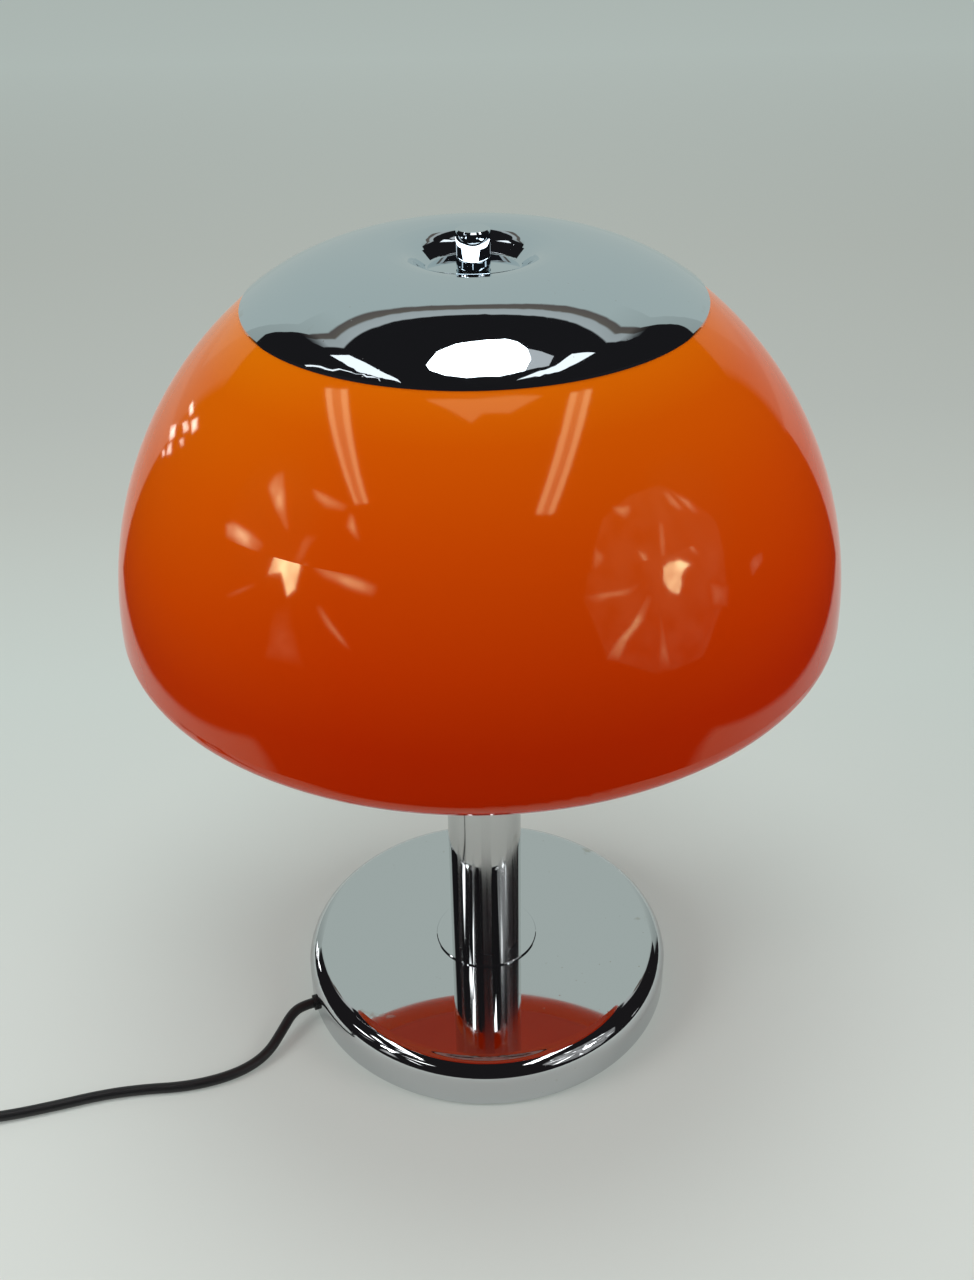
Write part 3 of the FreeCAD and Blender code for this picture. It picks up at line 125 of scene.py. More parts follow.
coil_start = coil_mouth + Vector((-cord_thickness, 0, 0))
coil_middle = coil_start - coil_point(-coil_turns)
coil_steps = 16
wound = [
    coil_middle + coil_point(-coil_turns + n / coil_steps)
    for n in range(1, int((2 * coil_turns + 0.25) * coil_steps) + 1)
]
coil_end = wound[-1] + Vector((0, cord_thickness, 0))
plug_mouth = Vector((coil_end.x, coil_end.y + 0.044, 0.00685))
tail_route = [
    switch_end,
    switch_end + Vector((-straight_end, 0, 0)),
    coil_mouth + Vector((straight_end, 0, 0)),
    coil_mouth,
    coil_start,
    *wound,
    coil_end,
    coil_end + Vector((0, straight_end, 0)),
    plug_mouth + Vector((0, -straight_end, 0)),
    plug_mouth,
]


def smooth_cord(name, route):
    """A round cord on one smooth curve, with the route as its control points."""
    curve = bpy.data.curves.new(name, "CURVE")
    curve.dimensions = "3D"
    curve.bevel_depth = cord_thickness / 2
    curve.bevel_resolution = 6
    curve.use_fill_caps = True
    curve.resolution_u = 8
    spline = curve.splines.new("NURBS")
    spline.points.add(len(route) - 1)
    for point, place in zip(spline.points, route):
        point.co = (*place, 1)
    spline.order_u = 3
    spline.use_endpoint_u = True
    cord = bpy.data.objects.new(name, curve)
    scene.collection.objects.link(cord)
    return cord


def new_material(name, colour, roughness, metallic=0.0):
    """A material with one Principled shader and its plain values."""
    material = bpy.data.materials.new(name)
    material.use_nodes = True
    shader = material.node_tree.nodes["Principled BSDF"]
    shader.inputs["Base Color"].default_value = (*colour, 1)
    shader.inputs["Roughness"].default_value = roughness
    shader.inputs["Metallic"].default_value = metallic
    return material, shader


def add_node(tree, kind, **inputs):
    """A node with some of its inputs set: a number or colour is written, a socket is linked."""
    node = tree.nodes.new(kind)
    for name, value in inputs.items():
        socket = node.inputs[name.replace("_", " ")]
        if isinstance(value, bpy.types.NodeSocket):
            tree.links.new(value, socket)
        else:
            socket.default_value = value
    return node


def new_group(name, inputs, outputs):
    """An empty shader node group with named number inputs and named outputs."""
    group = bpy.data.node_groups.new(name, "ShaderNodeTree")
    for label, kind, value in inputs:
        socket = group.interface.new_socket(label, in_out="INPUT", socket_type=kind)
        socket.default_value = value
    for label, kind in outputs:
        group.interface.new_socket(label, in_out="OUTPUT", socket_type=kind)
    return group, group.nodes.new("NodeGroupInput"), group.nodes.new("NodeGroupOutput")


def fine_grain_group():
    """Tiny pits and soft smears of moulded rubber or plastic."""
    group, given, made = new_group(
        "Fine grain",
        [("Scale", "NodeSocketFloat", 900.0), ("Smear", "NodeSocketFloat", 0.15)],
        [("Height", "NodeSocketFloat"), ("Roughness", "NodeSocketFloat")],
    )
    place = group.nodes.new("ShaderNodeTexCoord").outputs["Object"]
    pits = add_node(group, "ShaderNodeTexNoise", Vector=place, Scale=given.outputs["Scale"], Detail=3.0)
    smears = add_node(group, "ShaderNodeTexNoise", Vector=place, Scale=38.0, Detail=4.0)
    spread = group.nodes.new("ShaderNodeMath")
    spread.operation = "MULTIPLY_ADD"
    group.links.new(smears.outputs["Fac"], spread.inputs[0])
    group.links.new(given.outputs["Smear"], spread.inputs[1])
    spread.inputs[2].default_value = 0.3
    group.links.new(pits.outputs["Fac"], made.inputs["Height"])
    group.links.new(spread.outputs["Value"], made.inputs["Roughness"])
    return group


fine_grain = fine_grain_group()


def use_group(material, group, **settings):
    """Places a shader group in a material with its own values."""
    node = material.node_tree.nodes.new("ShaderNodeGroup")
    node.node_tree = group
    for name, value in settings.items():
        node.inputs[name.replace("_", " ")].default_value = value
    return node


def bump(material, shader, height, strength, distance):
    """Feeds a height to the shader's normal."""
    node = material.node_tree.nodes.new("ShaderNodeBump")
    node.inputs["Strength"].default_value = strength
    node.inputs["Distance"].default_value = distance
    material.node_tree.links.new(height, node.inputs["Height"])
    material.node_tree.links.new(node.outputs["Normal"], shader.inputs["Normal"])


def moulded(name, colour, smear, grain=900.0):
    """Moulded rubber or plastic with a fine grain and uneven gloss."""
    material, shader = new_material(name, colour, 0.4)
    grain_node = use_group(material, fine_grain, Scale=grain, Smear=smear)
    material.node_tree.links.new(grain_node.outputs["Roughness"], shader.inputs["Roughness"])
    bump(material, shader, grain_node.outputs["Height"], 0.25, 0.0001)
    return material


cord_sheath = moulded("cord_sheath", (0.012, 0.012, 0.013), 0.2)
switch_plastic = moulded("switch_plastic", (0.014, 0.014, 0.015), 0.1)

mains_cord = smooth_cord("mains_cord", lead_route)
wound_cord = smooth_cord("wound_cord", tail_route)
for cord in (mains_cord, wound_cord):
    cord.data.materials.append(cord_sheath)
    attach(cord, "lamp")
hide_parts("cord_lead")
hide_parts("cord_link", "cord_coil", "cord_tail")


def finish(material, *names):
    """Gives the named CAD pieces their material."""
    for name in names:
        for place in nodes[name].material_slots:
            place.material = material


finish(switch_plastic, "switch_base", "switch_cover", "switch_rocker", "plug_body", "coil_tie")


# ---------------------------------------------------------------- Room
# A pale seamless table under soft light. Behind the lamp the pale backdrop stands high, and the
# room above and in front is dark, with a softbox overhead, two umbrella lights and ceiling tubes.

pale = (0.44, 0.495, 0.47)
dark = (0.012, 0.011, 0.012)
paper_half_width = 0.65
paper_front = -0.335
backdrop_distance = 0.65
backdrop_top = 1.13
ceiling = 2.0
umbrella_distance = 1.3
window_distance = 3.0
lamp_middle = Vector((0, 0, 0.4))
layer_gap = 0.004
floor_half_size = 30
floor_drop = 0.0002
# The table's own glow, the painted shade where the lamp mirrors it close by, and where it runs into the
# backdrop.
paper_glow = 0.3
near_shade = 0.14
far_middle = (0, 2, 0)
far_start = 2.8
far_end = 4.6
room_light = 0.33
side_shade = 0.35
# How bright the paper is painted, from near to far: painted light and shade of the room's lamps.
paper_painted_light = [
    (0.0, (0.58, 0.61, 0.575)),
    (0.13, (0.53, 0.567, 0.535)),
    (0.236, (0.510, 0.568, 0.532)),
    (0.333, (0.482, 0.515, 0.478)),
    (0.40, (0.480, 0.512, 0.477)),
    (0.575, (0.528, 0.565, 0.522)),
    (1.0, (0.650, 0.728, 0.682)),
]
# The backdrop's upper edge: a thin dark gap, a paler strip, then the dark room.
edge_shades = [
    (0.0, pale),
    (0.31, pale),
    (0.345, (0.12, 0.10, 0.09)),
    (0.45, (0.14, 0.12, 0.10)),
    (0.48, (0.42, 0.44, 0.43)),
    (0.60, (0.45, 0.47, 0.46)),
    (0.62, dark),
    (1.0, dark),
]
side_shades = [(0.0, pale), (0.315, pale), (0.335, dark), (1.0, dark)]


def map_range(tree, value, low, high, to_low=0.0, to_high=1.0):
    """Carries a value from one range to another and holds it at the ends."""
    node = add_node(tree, "ShaderNodeMapRange", Value=value)
    node.inputs["From Min"].default_value = low
    node.inputs["From Max"].default_value = high
    node.inputs["To Min"].default_value = to_low
    node.inputs["To Max"].default_value = to_high
    return node.outputs["Result"]


def maths(tree, operation, first, second=0.0, third=0.0):
    """One step of arithmetic on numbers or sockets."""
    node = tree.nodes.new("ShaderNodeMath")
    node.operation = operation
    for socket, value in zip(node.inputs, (first, second, third)):
        if isinstance(value, bpy.types.NodeSocket):
            tree.links.new(value, socket)
        else:
            socket.default_value = value
    return node.outputs[0]


def blend(tree, factor, first, second):
    """Mixes two colours."""
    node = tree.nodes.new("ShaderNodeMix")
    node.data_type = "RGBA"
    for name, value in (("Factor", factor), ("A", first), ("B", second)):
        if isinstance(value, bpy.types.NodeSocket):
            tree.links.new(value, node.inputs[name])
        else:
            node.inputs[name].default_value = value
    return node.outputs["Result"]


def shades(tree, value, stops):
    """A colour ramp from a list of places and colours."""
    node = tree.nodes.new("ShaderNodeValToRGB")
    tree.links.new(value, node.inputs["Fac"])
    ramp = node.color_ramp
    ramp.elements[0].position = stops[0][0]
    ramp.elements[1].position = stops[-1][0]
    for place, _ in stops[1:-1]:
        ramp.elements.new(place)
    for element, (_, colour) in zip(ramp.elements, stops):
        element.color = (*colour, 1)
    return node.outputs["Color"]


def make_floor():
    """The pale paper under the lamp, and the table beyond it."""
    mesh = bpy.data.meshes.new("floor")
    corners = [Vector(way) * floor_half_size for way in ((-1, -1, 0), (1, -1, 0), (1, 1, 0), (-1, 1, 0))]
    mesh.from_pydata(corners, [], [(0, 1, 2, 3)])
    floor = bpy.data.objects.new("floor", mesh)
    floor.location.z = -floor_drop
    scene.collection.objects.link(floor)
    material = bpy.data.materials.new("floor_paper")
    material.use_nodes = True
    tree = material.node_tree
    tree.nodes.clear()
    place = tree.nodes.new("ShaderNodeNewGeometry").outputs["Position"]
    split = add_node(tree, "ShaderNodeSeparateXYZ", Vector=place)
    paper_colour_and_light = shades(tree, map_range(tree, split.outputs["Y"], -0.5, 3.1), paper_painted_light)
    # Mirrored in the lamp, the paper is 1.3 m wide and ends soon in front of the foot. Further back
    # it would rise to the backdrop, so there its sides run on at the backdrop's angle.
    width = maths(tree, "MAXIMUM", maths(tree, "MULTIPLY", split.outputs["Y"], 1.1), paper_half_width)
    outside = maths(tree, "SUBTRACT", maths(tree, "ABSOLUTE", split.outputs["X"]), width)
    ends = maths(tree, "MULTIPLY", map_range(tree, outside, 0.02, -0.02),
                 map_range(tree, split.outputs["Y"], paper_front - 0.025, paper_front + 0.025))
    path = tree.nodes.new("ShaderNodeLightPath")
    mirrored = path.outputs["Is Glossy Ray"]
    beyond = maths(tree, "MULTIPLY", mirrored, maths(tree, "SUBTRACT", 1.0, ends))
    shown = blend(tree, beyond, paper_colour_and_light, (*dark, 1))
    # Painted shade: the table is mirrored a little darker close to the lamp, which shades it.
    near = maths(tree, "MULTIPLY", mirrored, map_range(tree, split.outputs["Y"], 0.8, 0.3))
    shown = blend(tree, maths(tree, "MULTIPLY", near, near_shade), shown, (*dark, 1))
    glow = add_node(tree, "ShaderNodeEmission", Color=shown, Strength=paper_glow)
    paper = add_node(tree, "ShaderNodeBsdfDiffuse", Color=shown)
    near_paper = tree.nodes.new("ShaderNodeAddShader")
    tree.links.new(glow.outputs[0], near_paper.inputs[0])
    tree.links.new(paper.outputs[0], near_paper.inputs[1])
    # Far off the table runs into the backdrop's colour, so that no view shows a horizon.
    from_middle = add_node(tree, "ShaderNodeVectorMath")
    from_middle.operation = "DISTANCE"
    tree.links.new(place, from_middle.inputs[0])
    from_middle.inputs[1].default_value = far_middle
    far_glow = add_node(tree, "ShaderNodeEmission", Color=blend(tree, beyond, (*pale, 1), (*dark, 1)))
    lit = tree.nodes.new("ShaderNodeMixShader")
    tree.links.new(map_range(tree, from_middle.outputs["Value"], far_start, far_end), lit.inputs[0])
    tree.links.new(near_paper.outputs[0], lit.inputs[1])
    tree.links.new(far_glow.outputs[0], lit.inputs[2])
    plain = add_node(tree, "ShaderNodeBsdfDiffuse", Color=(0.7, 0.7, 0.68, 1))
    seen = maths(tree, "MAXIMUM", path.outputs["Is Camera Ray"], mirrored)
    mix = tree.nodes.new("ShaderNodeMixShader")
    tree.links.new(maths(tree, "MAXIMUM", seen, path.outputs["Is Transmission Ray"]), mix.inputs[0])
    tree.links.new(plain.outputs[0], mix.inputs[1])
    tree.links.new(lit.outputs[0], mix.inputs[2])
    out = tree.nodes.new("ShaderNodeOutputMaterial")
    tree.links.new(mix.outputs[0], out.inputs["Surface"])
    mesh.materials.append(material)


def make_world():
    """Dark room, with the pale backdrop up to a height behind the lamp and at its sides."""
    world = bpy.data.worlds.new("Studio")
    scene.world = world
    world.use_nodes = True
    tree = world.node_tree
    tree.nodes.clear()
    way = tree.nodes.new("ShaderNodeTexCoord").outputs["Generated"]
    split = add_node(tree, "ShaderNodeSeparateXYZ", Vector=way)
    # The backdrop stands high behind the lamp, and falls away at its sides and towards the viewer.
    edge = tree.nodes.new("ShaderNodeFloatCurve")
    curve = edge.mapping.curves[0]
    curve.points[0].location = (0, 0.715)
    curve.points[1].location = (1, 0.25)
    for point in ((0.46, 0.72), (0.52, 0.66), (0.60, 0.45), (0.75, 0.32)):
        curve.points.new(*point)
    for point in curve.points:
        point.handle_type = "VECTOR"
    edge.mapping.update()
    aside = maths(tree, "ABSOLUTE", split.outputs["X"])
    tree.links.new(aside, edge.inputs["Value"])
    above = maths(tree, "SUBTRACT", split.outputs["Z"], edge.outputs[0])
    above = maths(tree, "ADD", above, map_range(tree, split.outputs["Y"], 0.15, -0.75, 0.0, 1.2))
    level = map_range(tree, above, -0.1, 0.2)
    back = blend(tree, map_range(tree, aside, 0.50, 0.54), shades(tree, level, edge_shades),
                 shades(tree, level, side_shades))
    back = blend(tree, map_range(tree, aside, 0.38, 0.76, 0.0, side_shade), back, (*dark, 1))
    room = blend(tree, map_range(tree, aside, 0.72, 0.76), back, (*dark, 1))
    path = tree.nodes.new("ShaderNodeLightPath")
    seen = maths(tree, "MAXIMUM", path.outputs["Is Glossy Ray"], path.outputs["Is Transmission Ray"])
    show = add_node(tree, "ShaderNodeBackground", Strength=1.0)
    tree.links.new(room, show.inputs["Color"])
    backdrop = add_node(tree, "ShaderNodeBackground", Color=(*pale, 1), Strength=1.0)
    soft = add_node(tree, "ShaderNodeBackground", Color=(0.95, 0.98, 1.0, 1), Strength=room_light)
    first = tree.nodes.new("ShaderNodeMixShader")
    tree.links.new(seen, first.inputs[0])
    tree.links.new(soft.outputs[0], first.inputs[1])
    tree.links.new(show.outputs[0], first.inputs[2])
    second = tree.nodes.new("ShaderNodeMixShader")
    tree.links.new(path.outputs["Is Camera Ray"], second.inputs[0])
    tree.links.new(first.outputs[0], second.inputs[1])
    tree.links.new(backdrop.outputs[0], second.inputs[2])
    out = tree.nodes.new("ShaderNodeOutputWorld")
    tree.links.new(second.outputs[0], out.inputs["Surface"])


def aim(thing, place, target):
    """Puts a light at a place and turns it to its target."""
    place = Vector(place)
    way = (Vector(target) - place).to_track_quat("-Z", "Y")
    thing.matrix_world = Matrix.Translation(place) @ way.to_matrix().to_4x4()


def soft_lamp(name, place, target, size, power):
    """An area light that lights the lamp without being mirrored in it."""
    data = bpy.data.lights.new(name, "AREA")
    data.shape = "DISK"
    data.size = size
    data.energy = power
    light = bpy.data.objects.new(name, data)
    aim(light, place, target)
    light.visible_glossy = False
    light.visible_transmission = False
    scene.collection.objects.link(light)


def glowing(name, strength, colour=(1, 1, 1)):
    """A plain glow for a shape that is mirrored in the lamp."""
    material = bpy.data.materials.new(name)
    material.use_nodes = True
    tree = material.node_tree
    tree.nodes.clear()
    glow = add_node(tree, "ShaderNodeEmission", Color=(*colour, 1), Strength=strength)
    out = tree.nodes.new("ShaderNodeOutputMaterial")
    tree.links.new(glow.outputs[0], out.inputs["Surface"])
    return material


def only_mirrored(shape):
    """Puts a shape of the room where only the lamp's mirror image shows it."""
    shape.visible_camera = False
    shape.visible_diffuse = False
    shape.visible_shadow = False
    shape.visible_transmission = False
    scene.collection.objects.link(shape)


def mirrored_panel(name, corners, material):
    """A bright flat shape in the room."""
    mesh = bpy.data.meshes.new(name)
    mesh.from_pydata(corners, [], [tuple(range(len(corners)))])
    mesh.materials.append(material)
    only_mirrored(bpy.data.objects.new(name, mesh))


def mirrored_streaks(name, way, reach, shapes):
    """Streaks of light on the cloth of an umbrella light, or the panes of a window.

    Each shape has its power, how much of that is left at its rim, and its outline across the way
    from the lamp to the umbrella.
    """
    way = Vector(way).normalized()
    middle = lamp_middle + way * reach
    across = way.cross((0, 0, 1)).normalized()
    up = across.cross(way)
    points = []
    faces = []
    light = []
    for layer, (power, rim, outline) in enumerate(shapes):
        start = len(points)
        count = len(outline)
        centre = sum((Vector(corner) for corner in outline), Vector((0, 0))) / count
        for x, y in [centre, *outline]:
            points.append(middle + across * x + up * y - way * layer_gap * layer)
        light += [power] + [power * rim] * count
        faces += [(start, start + 1 + n, start + 1 + (n + 1) % count) for n in range(count)]
    mesh = bpy.data.meshes.new(name)
    mesh.from_pydata(points, [], faces)
    mesh.attributes.new("light", "FLOAT", "POINT").data.foreach_set("value", light)
    material = bpy.data.materials.new(name)
    material.use_nodes = True
    tree = material.node_tree
    tree.nodes.clear()
    power = tree.nodes.new("ShaderNodeAttribute")
    power.attribute_name = "light"
    folds = add_node(tree, "ShaderNodeTexNoise", Scale=7.0, Detail=3.0)
    tree.links.new(tree.nodes.new("ShaderNodeTexCoord").outputs["Object"], folds.inputs["Vector"])
    fold = map_range(tree, folds.outputs["Fac"], 0.35, 0.65, 0.5, 1.3)
    strength = maths(tree, "MULTIPLY", power.outputs["Fac"], fold)
    glow = add_node(tree, "ShaderNodeEmission", Strength=strength)
    out = tree.nodes.new("ShaderNodeOutputMaterial")
    tree.links.new(glow.outputs[0], out.inputs["Surface"])
    mesh.materials.append(material)
    only_mirrored(bpy.data.objects.new(name, mesh))


make_floor()
make_world()
soft_lamp("key_left", (-1.5, -0.5, 1.05), (0, 0, 0.25), size=0.9, power=11.6)
soft_lamp("fill_right", (1.5, -0.5, 1.0), (0, 0, 0.25), size=0.9, power=7.5)
soft_lamp("overhead", (0, 0.05, 1.9), (0, 0, 0.3), size=0.9, power=10.5)
box_glow = glowing("softbox_glow", 5.0)
tail_glow = glowing("softbox_tail_glow", 0.55)
skirt_glow = glowing("softbox_skirt_glow", 1.8)
tube_glow = glowing("tube_glow", 4.6)
louvre_glow = glowing("louvre_glow", 1.6)
edge_glow = glowing("edge_glow", 1.3)
overhead_shapes = [
    ("softbox", box_glow, [
        (-0.33, 0.10), (-0.24, 0.29), (-0.12, 0.41), (0.01, 0.45), (0.18, 0.49), (0.26, 0.44),
        (0.33, 0.33), (0.37, 0.16), (0.34, -0.01), (0.17, -0.10), (-0.06, -0.12), (-0.21, -0.07),
        (-0.31, 0.02),
    ]),
    ("softbox_tail", tail_glow, [
        (0.33, 0.33), (0.53, 0.25), (0.50, 0.09), (0.34, -0.01), (0.37, 0.16),
    ]),
    ("softbox_skirt", skirt_glow, [
        (-0.39, -0.34), (0.03, -0.39), (0.51, -0.31), (0.27, -0.51), (0.06, -0.52), (-0.04, -0.61),
    ]),
    ("tube_left", tube_glow, [(-1.29, 0.17), (-1.22, 0.13), (-1.41, -1.33), (-1.46, -1.33)]),
    ("tube_middle_left", tube_glow, [(-1.12, 0.05), (-1.05, 0.01), (-1.27, -1.35), (-1.33, -1.35)]),
    ("louvre_left", louvre_glow, [(-1.22, 0.13), (-1.12, 0.05), (-1.33, -1.35), (-1.41, -1.33)]),
    ("tube_middle_right", tube_glow, [(0.75, -0.20), (0.81, -0.17), (0.74, -1.66), (0.67, -1.66)]),
    ("tube_right", tube_glow, [(0.88, -0.12), (0.94, -0.09), (0.89, -1.64), (0.82, -1.65)]),
    ("louvre_right", louvre_glow, [(0.81, -0.17), (0.88, -0.12), (0.82, -1.65), (0.74, -1.66)]),
    ("edge_left", edge_glow, [
        (-1.09, 0.59), (-0.90, 0.48), (-0.72, 0.18), (-0.54, -0.09), (-0.80, 0.10), (-0.95, 0.32),
    ]),
    ("edge_right", edge_glow, [
        (0.85, 0.40), (0.66, 0.33), (0.55, 0.10), (0.29, -0.15), (0.60, 0.02), (0.72, 0.18),
    ]),
    ("edge_front", edge_glow, [(-1.42, 0.66), (-1.40, 0.62), (-0.70, -0.02), (-0.72, 0.01)]),
]
rise_corners = [
    (side * paper_half_width, backdrop_distance, level)
    for side, level in ((-1, 0.5), (1, 0.5), (1, backdrop_top), (-1, backdrop_top))
]
mirrored_panel("backdrop_rise", rise_corners, glowing("backdrop_rise", 1.0, pale))
for name, glow, outline in overhead_shapes:
    mirrored_panel(name, [(x, y, ceiling) for x, y in outline], glow)
mirrored_streaks("umbrella_left", (-0.859, -0.443, 0.255), umbrella_distance, [
    (8, 0, [(0.34, 0.31), (0.34, 0.40), (0.29, 0.45), (0.17, 0.36), (0.00, 0.19), (0.02, 0.18),
            (0.17, 0.23)]),
    (8, 0, [(0.02, 0.48), (-0.09, 0.51), (-0.30, 0.55), (-0.29, 0.50), (-0.15, 0.43), (-0.04, 0.44)]),
    (6, 0, [(-0.32, 0.52), (-0.36, 0.52), (-0.51, 0.39), (-0.46, 0.38), (-0.35, 0.42)]),
    (11, 0, [(0.51, -0.03), (0.45, 0.02), (0.25, 0.05), (0.12, 0.04), (0.15, -0.01), (0.31, -0.04),
             (0.46, -0.06)]),
    (7, 0, [(-0.23, 0.05), (-0.36, 0.09), (-0.59, 0.13), (-0.78, 0.16), (-0.76, 0.11), (-0.56, 0.07),
            (-0.33, 0.04)]),
    (4, 0, [(-0.35, -0.10), (-0.38, -0.08), (-0.51, -0.16), (-0.70, -0.28), (-0.65, -0.28),
            (-0.46, -0.19)]),
    (1, 0, [(-0.08, -0.23), (-0.18, -0.14), (-0.38, -0.50), (-0.06, -0.54)]),
    (5, 0, [(-0.15, 0.05), (-0.19, 0.13), (-0.21, 0.12), (-0.18, 0.05)]),
    (1.2, 0, [(0.32, -0.34), (0.09, -0.16), (0.07, -0.17), (0.28, -0.34)]),
    (2, 0, [(-0.11, 0.08), (-0.12, 0.23), (-0.21, 0.26), (-0.15, 0.08)]),
    (20, 0.7, [(0.02, -0.09), (0.01, -0.02), (-0.05, 0.04), (-0.13, 0.06), (-0.18, 0.02), (-0.19, -0.07),
               (-0.15, -0.13), (-0.11, -0.08), (-0.07, -0.05), (-0.01, -0.06)]),
])
mirrored_streaks("umbrella_right", (0.876, -0.427, 0.223), umbrella_distance, [
    (0.36, 0.8, [(-0.08, 0.45), (-0.21, 0.25), (-0.31, 0.05), (-0.28, -0.07), (-0.20, -0.29),
                 (-0.07, -0.40), (0.06, -0.55), (0.40, -0.54), (0.78, -0.32), (0.84, 0.13), (0.61, 0.40),
                 (0.43, 0.53), (0.17, 0.53)]),
    (5, 0, [(-0.06, 0.41), (-0.10, 0.39), (-0.13, 0.23), (-0.09, 0.23), (-0.05, 0.31)]),
    (4, 0, [(-0.11, 0.38), (-0.20, 0.26), (-0.23, 0.14), (-0.18, 0.15)]),
    (5, 0, [(0.07, 0.29), (0.05, 0.25), (0.11, 0.14), (0.18, 0.08), (0.16, 0.16)]),
    (5, 0, [(0.32, 0.55), (0.19, 0.47), (0.20, 0.43), (0.29, 0.41), (0.33, 0.50)]),
    (5, 0, [(0.58, 0.41), (0.54, 0.32), (0.56, 0.28), (0.66, 0.28), (0.63, 0.35)]),
    (5, 0, [(0.32, 0.22), (0.25, 0.17), (0.27, 0.12), (0.30, 0.17)]),
    (5, 0, [(0.00, 0.07), (-0.04, 0.05), (-0.09, -0.04), (-0.05, -0.02)]),
    (7, 0, [(0.34, -0.03), (0.32, -0.06), (0.40, -0.15), (0.59, -0.25), (0.69, -0.36), (0.78, -0.32),
            (0.71, -0.24), (0.52, -0.15)]),
    (4, 0, [(0.82, 0.15), (0.63, 0.10), (0.38, 0.02), (0.32, 0.03), (0.45, 0.00), (0.71, 0.08),
            (0.76, 0.06)]),
    (2, 0, [(0.30, -0.10), (0.30, -0.53), (0.41, -0.52)]),
    (2, 0, [(-0.07, -0.16), (-0.23, -0.26), (-0.18, -0.36), (-0.05, -0.30)]),
    (20, 0.7, [(0.22, -0.02), (0.19, 0.03), (0.14, 0.04), (0.07, 0.01), (0.01, -0.03), (0.06, -0.03),
               (0.10, -0.06), (0.11, -0.09), (0.15, -0.13), (0.19, -0.10), (0.21, -0.06)]),
])
mirrored_streaks("window", (-0.785, 0.613, 0.10), window_distance, [
    (9, 0.5, [(0.15, 0.02), (0.17, 0.07), (-0.06, 0.17), (-0.05, 0.10)]),
    (9, 0.5, [(0.01, -0.04), (-0.06, 0.06), (-0.25, 0.14), (-0.20, 0.03)]),
    (9, 0.5, [(-0.15, 0.15), (-0.23, 0.28), (-0.42, 0.33), (-0.39, 0.22)]),
    (6, 0.5, [(0.29, -0.34), (0.16, -0.20), (-0.03, -0.17), (0.05, -0.29)]),
    (6, 0.5, [(0.04, -0.32), (-0.03, -0.22), (-0.21, -0.20), (-0.09, -0.31)]),
    (6, 0.5, [(-0.20, -0.05), (-0.26, 0.04), (-0.39, 0.07), (-0.34, 0.00)]),
    (6, 0.5, [(0.12, -0.45), (0.08, -0.39), (-0.04, -0.35), (0.00, -0.41)]),
])
mirrored_streaks("far_right", (1, 0, 0.02), window_distance, [
    (0.9, 0.6, [(0.19, 0.01), (0.06, 0.02), (-0.14, -0.04), (-0.10, -0.12), (0.09, -0.11),
                (0.20, -0.13)]),
])


# ---------------------------------------------------------------- Foot
# A spun steel shell with a rounded edge, polished and chrome-plated, with a thin chrome rosette
# under the stem. It is old but still bright, with pinhole specks, small stains and soft smears.
# Inside are a cast iron weight and a zinc-plated cover with its screws, and a felt ring below.

polished_roughness = 0.012
speck_roughness = 0.16
smear_roughness = 0.05
streak_roughness = 0.2
stain_colour = (0.52, 0.49, 0.43, 1)


def worn_plating_group():
    """Pinhole specks, small stains and soft smears on polished plating."""
    group, given, made = new_group(
        "Worn plating",
        [("Specks", "NodeSocketFloat", 1.0), ("Smears", "NodeSocketFloat", 1.0),
         ("Streaks", "NodeSocketFloat", 0.0), ("Plating", "NodeSocketColor", (0.72, 0.75, 0.77, 1))],
        [("Height", "NodeSocketFloat"), ("Roughness", "NodeSocketFloat"),
         ("Colour", "NodeSocketColor")],
    )
    place = group.nodes.new("ShaderNodeTexCoord").outputs["Object"]
    dots = add_node(group, "ShaderNodeTexVoronoi", Vector=place, Scale=150.0)
    patches = add_node(group, "ShaderNodeTexNoise", Vector=place, Scale=11.0, Detail=2.0)
    speck = maths(group, "MULTIPLY", map_range(group, dots.outputs["Distance"], 0.075, 0.04),
                  map_range(group, patches.outputs["Fac"], 0.5, 0.62))
    speck = maths(group, "MULTIPLY", speck, given.outputs["Specks"])
    spots = add_node(group, "ShaderNodeTexNoise", Vector=place, Scale=46.0, Detail=3.0)
    stain = map_range(group, spots.outputs["Fac"], 0.70, 0.76)
    stain = maths(group, "MULTIPLY", stain, given.outputs["Specks"])
    clouds = add_node(group, "ShaderNodeTexNoise", Vector=place, Scale=14.0, Detail=5.0)
    smear = maths(group, "MULTIPLY", map_range(group, clouds.outputs["Fac"], 0.5, 0.8),
                  given.outputs["Smears"])
    wear = maths(group, "MAXIMUM", speck, maths(group, "MULTIPLY", stain, 0.6))
    rough = maths(group, "MULTIPLY_ADD", wear, speck_roughness, polished_roughness)
    rough = maths(group, "MULTIPLY_ADD", smear, smear_roughness, rough)
    drawn = group.nodes.new("ShaderNodeMapping")
    drawn.inputs["Scale"].default_value = (150, 150, 2)
    group.links.new(place, drawn.inputs["Vector"])
    lines = add_node(group, "ShaderNodeTexNoise", Vector=drawn.outputs["Vector"], Scale=1.0, Detail=3.0)
    streak = maths(group, "MULTIPLY", map_range(group, lines.outputs["Fac"], 0.48, 0.62),
                   given.outputs["Streaks"])
    rough = maths(group, "MULTIPLY_ADD", streak, streak_roughness, rough)
    tint = blend(group, wear, given.outputs["Plating"], stain_colour)
    group.links.new(wear, made.inputs["Height"])
    group.links.new(rough, made.inputs["Roughness"])
    group.links.new(tint, made.inputs["Colour"])
    return group


worn_plating = worn_plating_group()


